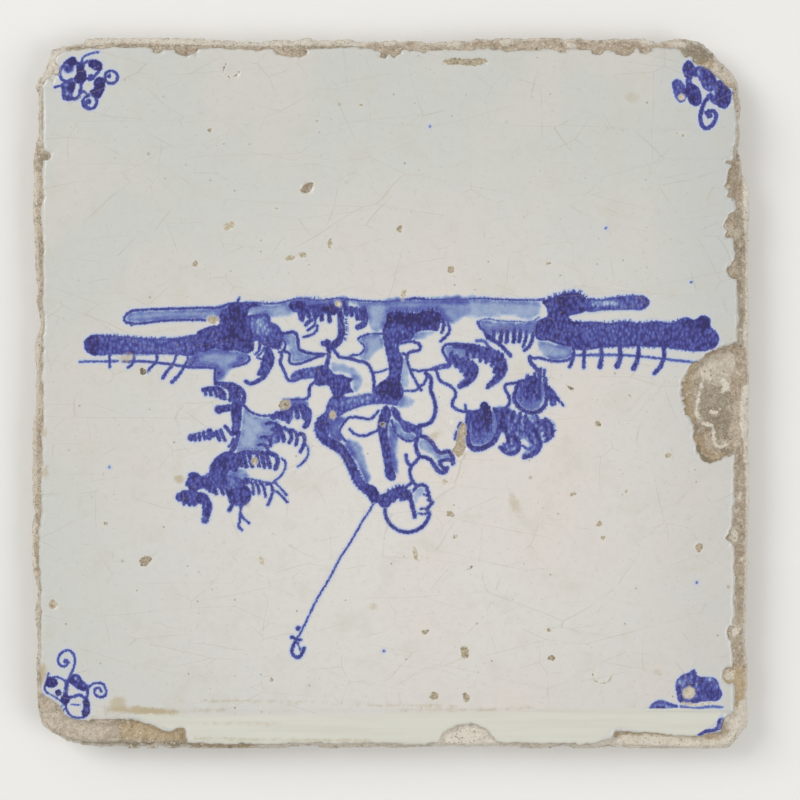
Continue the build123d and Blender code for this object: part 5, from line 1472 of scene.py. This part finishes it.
def painted_glaze():
    """White tin glaze with the blue painting in it, crazed, pitted and stained."""
    material, mix, shader = new_material("painted_glaze")
    fine = mix.swing(0.35, 1.0)
    middling = mix.swing(1.3, 2.0)
    broad = mix.grain(22.0, 3.0)

    # Ground: brightest low in the middle, cooler and greyer towards the edges
    from_bright = mix.add("ShaderNodeVectorMath", {0: mix.place, 1: (6.0, -22.0, FACE)}, operation="DISTANCE")
    bright = mix.step(from_bright.outputs["Value"], 85.0, 10.0)
    ground = mix.blend(bright, colour(198, 199, 193), colour(215, 211, 205))
    sideways = mix.add("ShaderNodeSeparateXYZ", {0: mix.place}).outputs["X"]
    ground = mix.tint(ground, (188, 190, 187), sideways, 42.0, 64.0, 0.5)
    ground = mix.tint(ground, (215, 203, 193), broad, 0.45, 0.72, 0.35)
    ground = mix.tint(ground, (196, 192, 176), mix.grain(5.0, 3.0), 0.5, 0.8, 0.35)
    ground = mix.tint(ground, (186, 183, 174), middling, -0.1, 0.35, 0.18)

    # The blue: soft washes, frayed strokes with a grain of light dots, and a faint bleed round them
    upright = mix.stretched((1.0, 0.6, 1.0))
    grit = mix.swing(0.2, 1.0, place=upright)
    coarse_grit = mix.swing(0.42, 1.0, place=upright)
    beads = mix.add("ShaderNodeTexVoronoi", {"Vector": upright, "Scale": 1 / 0.52}).outputs["Distance"]
    beads = mix.stir(coarse_grit, 0.35, beads)
    ink_inside = mix.stored("ink_inside")
    frayed = mix.stir(grit, 0.42, mix.stir(coarse_grit, 0.3, ink_inside))
    ink_mask = mix.step(frayed, -0.18, 0.18)
    inner = mix.step(ink_inside, 0.12, 0.4)
    patchy = mix.times(inner, mix.step(middling, -0.2, 0.15, 0.45, 1.0))
    light_dots = mix.times(mix.step(beads, 0.4, 0.08, 0.0, -0.22), patchy)
    dark_dots = mix.times(mix.step(beads, 0.4, 0.75, 0.0, 0.2), inner)
    pooled = mix.step(ink_inside, 0.6, 0.15, 0.0, 0.06)
    ink_tone = mix.plus(mix.stored("ink_strength"), mix.plus(light_dots, dark_dots))
    ink_tone = mix.stir(middling, 0.35, mix.plus(ink_tone, pooled))
    ink_tone = mix.times(ink_tone, ink_mask)
    beside_ink = mix.step(ink_inside, -1.1, -0.1, 0.72, 1.12)
    wash_edge = mix.stir(middling, 0.8, mix.stored("wash_inside"))
    wash_mask = mix.times(mix.step(wash_edge, -0.55, 0.5), beside_ink)
    wash_tone = mix.stir(middling, 0.25, mix.stored("wash_strength"))
    wash_tone = mix.times(mix.stir(grit, 0.2, wash_tone), 1.28)
    wash_tone = mix.times(wash_tone, wash_mask)
    bleed = mix.step(ink_inside, -0.65, 0.05, 0.0, 0.15)
    tone = mix.most(ink_tone, mix.most(wash_tone, bleed))
    blues = mix.add("ShaderNodeValToRGB", {0: tone})
    ramp = blues.color_ramp
    stops = ((0.1, (192, 196, 211)), (0.2, (166, 180, 202)), (0.34, (138, 156, 190)), (0.48, (104, 119, 175)),
             (0.62, (82, 89, 161)), (0.76, (66, 68, 142)), (0.9, (50, 46, 112)), (1.0, (43, 37, 92)))
    while len(ramp.elements) < len(stops):
        ramp.elements.new(0.5)
    for element, (position, blue) in zip(ramp.elements, stops):
        element.position = position
        element.color = colour(*blue)
    painted = mix.blend(mix.step(tone, 0.0, 0.16), ground, blues.outputs["Color"])

    # Crazing and dirt
    crazed = mix.group(cracks, Spacing=10.0, Width=0.11)
    painted = mix.lay(painted, (158, 146, 124), crazed, 0.33)
    painted = mix.tint(painted, (172, 160, 138), mix.grain(0.55, 2.0, 0.6), 0.62, 0.76, 0.3)
    for lean, strength in ((0.6, 0.28), (-0.9, 0.32), (1.5, 0.24)):
        long_cracks = mix.group(cracks, mix.stretched((0.28, 1.0, 1.0), lean), Spacing=8.0, Width=0.08)
        painted = mix.lay(painted, (162, 150, 129), long_cracks, strength)
    for spacing, size, share, strength in (
        (2.2, 0.2, 0.4, 0.6), (5.0, 0.36, 0.35, 0.4), (1.1, 0.12, 0.4, 0.35),
    ):
        dots = mix.group(specks, Spacing=spacing, Size=size, Share=share)
        painted = mix.lay(painted, (132, 121, 102), dots, strength)
    stain_edge = mix.stir(middling, 1.1, mix.stir(fine, 0.6, mix.stored("stain_inside")))
    stained = mix.times(mix.step(stain_edge, -0.4, 0.4), mix.stored("stain_strength"))

    # The made-good strip
    mended_mask = mix.step(mix.stir(middling, 0.35, mix.stored("mended_inside")), -0.12, 0.12)
    streaks = mix.grain(0.9, 2.0, place=mix.stretched((0.05, 1.0, 1.0)))
    strip = mix.blend(mix.step(streaks, 0.35, 0.75), colour(209, 208, 196), colour(203, 201, 187))
    painted = mix.blend(mix.times(mended_mask, 0.85), painted, strip)
    painted = mix.blend(stained, painted, colour(178, 162, 126))

    # Knocks down to the clay, with a pale lip
    ragged = mix.swing(0.6, 2.0, 0.6)
    chip_inside = mix.stir(ragged, 0.7, mix.stored("chip_inside"))
    painted = mix.lay(painted, (214, 210, 198), mix.step(chip_inside, -0.35, -0.05), 0.4)
    chip_mask = mix.step(chip_inside, -0.08, 0.1)
    chip_dark = mix.stir(grit, 0.9, mix.stir(ragged, 1.6, mix.stored("chip_strength")))
    chip_colour = mix.blend(mix.step(chip_dark, -0.1, 0.55), colour(210, 201, 180), colour(168, 154, 127))
    chip_colour = mix.tint(chip_colour, (84, 70, 52), chip_dark, 0.55, 1.1)
    painted = mix.blend(mix.times(chip_mask, 0.92), painted, chip_colour)

    # Dirt along the glaze's own edge
    by_edge = mix.step(mix.stored("glaze_inside"), 0.4, 0.0)
    dirty = mix.times(by_edge, mix.step(middling, -0.2, 0.25, 0.05, 0.6))
    painted = mix.blend(dirty, painted, colour(150, 139, 120))
    mix.join(painted, shader["Base Color"])

    # Gloss, duller where it is worn or bare
    dull = mix.step(mix.grain(2.4, 4.0, 0.7), 0.4, 0.8, 0.2, 0.42)
    dull = mix.most(dull, mix.times(chip_mask, 0.8))
    dull = mix.most(dull, mix.times(mended_mask, 0.5))
    mix.join(dull, shader["Roughness"])
    relief = mix.stir(mix.grain(0.7, 3.0), 0.35, mix.times(crazed, -0.5))
    mix.emboss(shader, relief, 0.25, 0.05)
    return material


def fired_clay():
    """Buff earthenware with lime mortar, ochre and soot on it."""
    material, mix, shader = new_material("fired_clay")
    patches = mix.grain(4.0, 3.0)
    middling = mix.grain(0.9, 3.0, 0.65)
    mixed = mix.less(middling, 0.5)
    fine = mix.grain(0.3, 2.0, 0.7)
    body = mix.blend(mix.step(patches, 0.35, 0.65), colour(176, 160, 138), colour(199, 185, 164))
    body = mix.tint(body, (156, 137, 114), mix.grain(2.0, 2.0), 0.52, 0.62, 0.6)
    body = mix.tint(body, (134, 117, 96), middling, 0.52, 0.68, 0.55)
    body = mix.tint(body, (212, 202, 184), middling, 0.47, 0.34, 0.8)
    # What lies on it, the softness of its edge and how far it is mixed in
    for name, width, spread_out, shown in (
        ("ochre", 0.8, 2.8, (193, 169, 129)),
        ("soot", 0.35, 2.6, (116, 110, 93)),
        ("lime", 0.2, 2.1, (228, 221, 207)),
    ):
        inside = mix.stir(mixed, spread_out, mix.stored(f"{name}_inside"))
        mask = mix.step(inside, -width, width)
        body = mix.lay(body, shown, mask, mix.stored(f"{name}_strength"))
    # Dark, pale and red grains in the clay
    for spacing, size, share, strength, shown in (
        (1.1, 0.24, 0.3, 0.6, (92, 78, 62)),
        (1.2, 0.3, 0.4, 0.75, (226, 219, 206)),
        (1.9, 0.35, 0.22, 0.45, (172, 122, 92)),
    ):
        body = mix.lay(body, shown, mix.group(specks, Spacing=spacing, Size=size, Share=share), strength)
    body = mix.tint(body, (112, 99, 82), fine, 0.54, 0.72, 0.45)
    body = mix.tint(body, (222, 214, 200), fine, 0.46, 0.28, 0.45)
    # Paler on the outermost edge
    outermost = mix.stir(mixed, 1.6, mix.stored("rim_inside"))
    body = mix.tint(body, (216, 208, 193), outermost, 0.62, 0.2, 0.62)
    # Painted shade: darker on the clay just beside the glaze, where it lies below the glaze's edge
    body = mix.tint(body, (116, 103, 84), mix.stored("glaze_inside"), -0.3, 0.0, 0.25)
    mix.join(body, shader["Base Color"])
    shader["Roughness"].default_value = 0.92
    mix.emboss(shader, mix.stir(middling, 1.6, fine), 0.9, 0.3)
    return material


def lime_crumbs():
    """Crumbs of lime and sand, each a little different."""
    material, mix, shader = new_material("lime_crumbs")
    tints = mix.grain(0.9, 1.0)
    body = mix.blend(mix.step(tints, 0.4, 0.6), colour(160, 143, 119), colour(208, 197, 177))
    body = mix.blend(mix.group(specks, Spacing=1.6, Size=0.6, Share=0.3), body, colour(128, 109, 88))
    mix.join(body, shader["Base Color"])
    shader["Roughness"].default_value = 0.9
    return material


def make_crumb_tree():
    """Geometry nodes: crumbs scattered over clay, as thickly as a value stored on it says."""
    tree = bpy.data.node_groups.new("scattered_crumbs", "GeometryNodeTree")
    sockets = (("Clay", "INPUT", "Geometry"), ("Density", "INPUT", "Float"), ("Smallest", "INPUT", "Float"),
               ("Largest", "INPUT", "Float"), ("Seed", "INPUT", "Int"), ("Material", "INPUT", "Material"),
               ("Crumbs", "OUTPUT", "Geometry"))
    for name, direction, kind in sockets:
        tree.interface.new_socket(name, in_out=direction, socket_type=f"NodeSocket{kind}")
    given = tree.nodes.new("NodeGroupInput").outputs
    out = tree.nodes.new("NodeGroupOutput").inputs
    mix = Recipe(tree)
    thickly = mix.add("GeometryNodeInputNamedAttribute", {"Name": "crumbs_here"}, data_type="FLOAT")
    density = mix.times(thickly.outputs[0], given["Density"])
    places = mix.add("GeometryNodeDistributePointsOnFaces",
                     {"Mesh": given["Clay"], "Density": density, "Seed": given["Seed"]})
    crumb = mix.add("GeometryNodeMeshIcoSphere", {"Radius": 1.0, "Subdivisions": 1})
    turn = mix.add("FunctionNodeRandomValue", {0: (0.0, 0.0, 0.0), 1: (6.2, 6.2, 6.2), "Seed": given["Seed"]},
                   data_type="FLOAT_VECTOR")
    size = mix.add("FunctionNodeRandomValue", {0: given["Smallest"], 1: given["Largest"], "Seed": 3},
                   data_type="FLOAT_VECTOR")
    laid = mix.add("GeometryNodeInstanceOnPoints", {
        "Points": places.outputs["Points"],
        "Instance": crumb.outputs["Mesh"],
        "Rotation": turn.outputs[0],
        "Scale": size.outputs[0],
    })
    real = mix.add("GeometryNodeRealizeInstances", {"Geometry": laid.outputs["Instances"]})
    coated = mix.add("GeometryNodeSetMaterial", {"Geometry": real.outputs[0], "Material": given["Material"]})
    mix.join(coated.outputs[0], out["Crumbs"])
    return tree


def make_crumbs(clay):
    """Crumbs of lime and sand that cling to the broken clay, kept inside the tile's own box."""
    tree = make_crumb_tree()
    piece = placed("lime_crumbs", clay.data.copy())
    x, y, z = (np.array([v.co for v in piece.data.vertices]) / MM).T
    bareness = eased(-0.1, -0.45, glaze) * eased(0.0, 0.25, rim) * np.clip(0.4 + 0.9 * rough(2.6, 40), 0, 1)
    here = sampled(bareness, x, y)
    below = z < sampled(clay_top, x, y) - 0.3
    here = np.where(below, 0.4 * eased(0.5, 3, z), here)
    add_values(piece, {"crumbs_here": here})
    modifier = piece.modifiers.new("crumbs", "NODES")
    modifier.node_group = tree
    settings = {
        "Density": CRUMBS_PER_SQUARE_MM / MM**2,
        "Smallest": SMALLEST_CRUMB * MM,
        "Largest": LARGEST_CRUMB * MM,
        "Seed": 5,
        "Material": lime_crumbs(),
    }
    for socket in tree.interface.items_tree:
        if socket.in_out == "INPUT" and socket.name in settings:
            modifier[socket.identifier] = settings[socket.name]
    grown = piece.evaluated_get(bpy.context.evaluated_depsgraph_get())
    mesh = bpy.data.meshes.new_from_object(grown)
    piece.modifiers.remove(modifier)
    piece.data = mesh
    points = np.array([v.co for v in mesh.vertices])
    points = np.clip(points, (np.array(low) + BOX_MARGIN) * MM, (np.array(high) - BOX_MARGIN) * MM)
    mesh.vertices.foreach_set("co", points.astype(np.float32).ravel())
    mesh.update()
    return piece


def make_glaze():
    """The glaze, a closed shell whose foot is bedded in the clay."""
    # Each edge, how far from it the cells are small, and their size
    rules = (
        (wash.inside, 0.5, 4),
        (stain.inside, 0.5, 4),
        (chip.inside, 0.5, 2),
        (mended.inside, 0.3, 2),
        (glaze, 0.75, 2),
        (ink.inside, 0.6, 2),
        (ink.inside, 0.2, 1),
        (glaze, 0.32, 1),
    )
    need = largest_cells(COARSE, *[(np.abs(field) < width, size) for field, width, size in rules])
    x, y, faces, loop = sheet(glaze, need)
    z = sampled(glaze_top, x, y)
    lip = np.arange(len(x), len(x) + len(loop))
    foot = lip + len(loop)
    points = np.stack([
        np.concatenate([x, x[loop], x[loop]]),
        np.concatenate([y, y[loop], y[loop]]),
        np.concatenate([z, z[loop] - GLAZE_THICKNESS, np.full(len(loop), GLAZE_FOOT)]),
    ], 1)
    faces += band(lip, loop) + band(foot, lip)
    faces.append(foot[::-1].tolist())
    piece = piece_from("painted_glaze", points, faces, painted_glaze())
    fields = {"glaze_inside": glaze, **coat_fields(ink=ink, wash=wash, chip=chip, stain=stain, mended=mended)}
    add_values(piece, {name: sampled(field, points[:, 0], points[:, 1]) for name, field in fields.items()})
    return piece


# Sides: how far the clay leans in to the back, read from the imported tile, and the marks dragged
# along them by the knife, coarse and fine. The cells of the back are counted in grid cells.
tile_points = np.array([v.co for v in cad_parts["tile"].data.vertices]) / MM
back_points = tile_points[tile_points[:, 2] < 0.01]
UNDERCUT = (high.x - low.x - np.ptp(back_points[:, 0])) / 2
SIDE_ROWS = 7
DRAWN_IN = 6.0
DRAG_MARKS = 900
COARSE_DRAG_MARKS = 160
BACK_CELLS = 8


def make_body():
    """The clay body: worn top, slanting sides and a flat, scraped back, closed all round."""
    on_body = rim > -1.5
    by_rim = np.abs(rim) < 0.5
    rules = ((glaze < 1.0) & on_body, 2), ((glaze < 0.1) & on_body, 1), (by_rim & on_body, 1)
    x, y, faces, loop = sheet(rim, largest_cells(COARSE, *rules))
    back_x, back_y, back_faces, back_loop = sheet(rim, largest_cells(BACK_CELLS, (by_rim, 1)))
    top_z = sampled(clay_top, x, y)
    inward_x, inward_y = np.gradient(blurred(rim, 20), CELL)

    def drawn_in(x, y, amount):
        shift = amount * np.clip(1 - sampled(rim, x, y) / DRAWN_IN, 0, 1)
        return x + shift * sampled(inward_x, x, y), y + shift * sampled(inward_y, x, y)

    rows = [(x, y, top_z)]
    total = len(x)
    last = loop
    run = np.cumsum(np.hypot(np.diff(x[loop], append=x[loop][0]), np.diff(y[loop], append=y[loop][0])))
    chance = np.random.default_rng(21)

    def dragged(marks):
        return np.interp(run, np.linspace(0, run[-1], marks), chance.uniform(-1, 1, marks))

    for row in range(1, SIDE_ROWS + 1):
        share = row / (SIDE_ROWS + 1)
        amount = UNDERCUT * share + 0.14 + 0.08 * dragged(DRAG_MARKS) + 0.1 * dragged(COARSE_DRAG_MARKS)
        rows.append((*drawn_in(x[loop], y[loop], amount), top_z[loop] * (1 - share)))
        ring = np.arange(total, total + len(loop))
        faces += band(ring, last)
        last = ring
        total += len(loop)
    back_rim = sampled(rim, back_x, back_y)
    scraped = sampled(roughened(0.1, (0.09, 9, 31, 1.6), (0.07, 2.2, 32)), back_x, back_y)
    back_z = np.maximum(0, scraped) * eased(0, 2.5, back_rim) + 0.25 * eased(0.8, 0, back_rim)
    rows.append((*drawn_in(back_x, back_y, UNDERCUT + 0.1), back_z))
    faces += band(back_loop + total, last)
    faces += [[point + total for point in face[::-1]] for face in back_faces]
    points = np.concatenate([np.stack(row, 1) for row in rows])
    points = np.clip(points, np.array(low) + BOX_MARGIN, np.array(high) - BOX_MARGIN)
    piece = piece_from("clay_body", points, faces, fired_clay())

    # The weathering ends a little way down the sides
    fields = {"glaze_inside": np.minimum(glaze, 0.0), "rim_inside": rim}
    fields.update(coat_fields(lime=lime, ochre=ochre, soot=soot))
    values = {name: sampled(field, points[:, 0], points[:, 1]) for name, field in fields.items()}
    under = np.arange(len(points)) >= len(x)
    # The painted shade beside the glaze stays off the sides and the back
    values["glaze_inside"] = np.where(under, -REACH, values["glaze_inside"])
    for name in ("lime_strength", "ochre_strength", "soot_strength"):
        values[name] = values[name] * np.where(under, eased(0.4, 5, points[:, 2]), 1)
    add_values(piece, values)
    return piece


ink.strength = blurred(ink.strength, 1) + pools
wash.strength = blurred(wash.strength, 2)
glaze_piece = make_glaze()
clay_piece = make_body()
crumb_piece = make_crumbs(clay_piece)
for made in (glaze_piece, clay_piece, crumb_piece):
    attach(made, "root")
    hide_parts("tile")


# Stage: sizes and places in metres, apart from the camera's view in millimetres
FLOOR_HALF = 1.5
LAMP_SIZE = 0.8
SOFT_LIGHT = 0.55
LENS = 110
SENSOR_WIDTH = 36
VIEW_WIDTH = 145.45
VIEW_MIDDLE = (1.73, -1.27)


def make_floor():
    """A plain pale floor."""
    half = FLOOR_HALF
    mesh = bpy.data.meshes.new("floor")
    ends = [(-half, -half, 0), (half, -half, 0), (half, half, 0), (-half, half, 0)]
    mesh.from_pydata(ends, [], [(0, 1, 2, 3)])
    material = bpy.data.materials.new("pale_floor")
    material.use_nodes = True
    shader = material.node_tree.nodes["Principled BSDF"].inputs
    shader["Base Color"].default_value = colour(232, 231, 228)
    shader["Roughness"].default_value = 0.9
    mesh.materials.append(material)
    floor = placed("floor", mesh)


def add_lamp(name, place, power):
    """A square soft lamp, aimed at the middle of the tile."""
    lamp = bpy.data.lights.new(name, "AREA")
    lamp.shape = "SQUARE"
    lamp.size = LAMP_SIZE
    lamp.energy = power
    holder = placed(name, lamp)
    holder.location = place
    direction = -holder.location.normalized()
    holder.rotation_euler = direction.to_track_quat("-Z", "Y").to_euler()


def set_stage():
    """Floor, even light and the camera straight above the tile."""
    make_floor()
    world = bpy.data.worlds.new("even_light")
    world.use_nodes = True
    background = world.node_tree.nodes["Background"].inputs
    background["Color"].default_value = (1, 1, 1, 1)
    background["Strength"].default_value = SOFT_LIGHT
    bpy.context.scene.world = world
    add_lamp("soft_lamp_left", (-0.9, 0.5, 0.9), 9.0)
    add_lamp("soft_lamp_right", (0.9, -0.3, 1.0), 6.0)
    camera = bpy.data.cameras.new("camera")
    camera.lens = LENS
    camera.sensor_width = SENSOR_WIDTH
    holder = placed("camera", camera)
    above = FACE * MM + VIEW_WIDTH * MM * LENS / SENSOR_WIDTH
    holder.location = (VIEW_MIDDLE[0] * MM, VIEW_MIDDLE[1] * MM, above)
    bpy.context.scene.camera = holder


set_stage()
bpy.context.scene.view_settings.view_transform = "Standard"
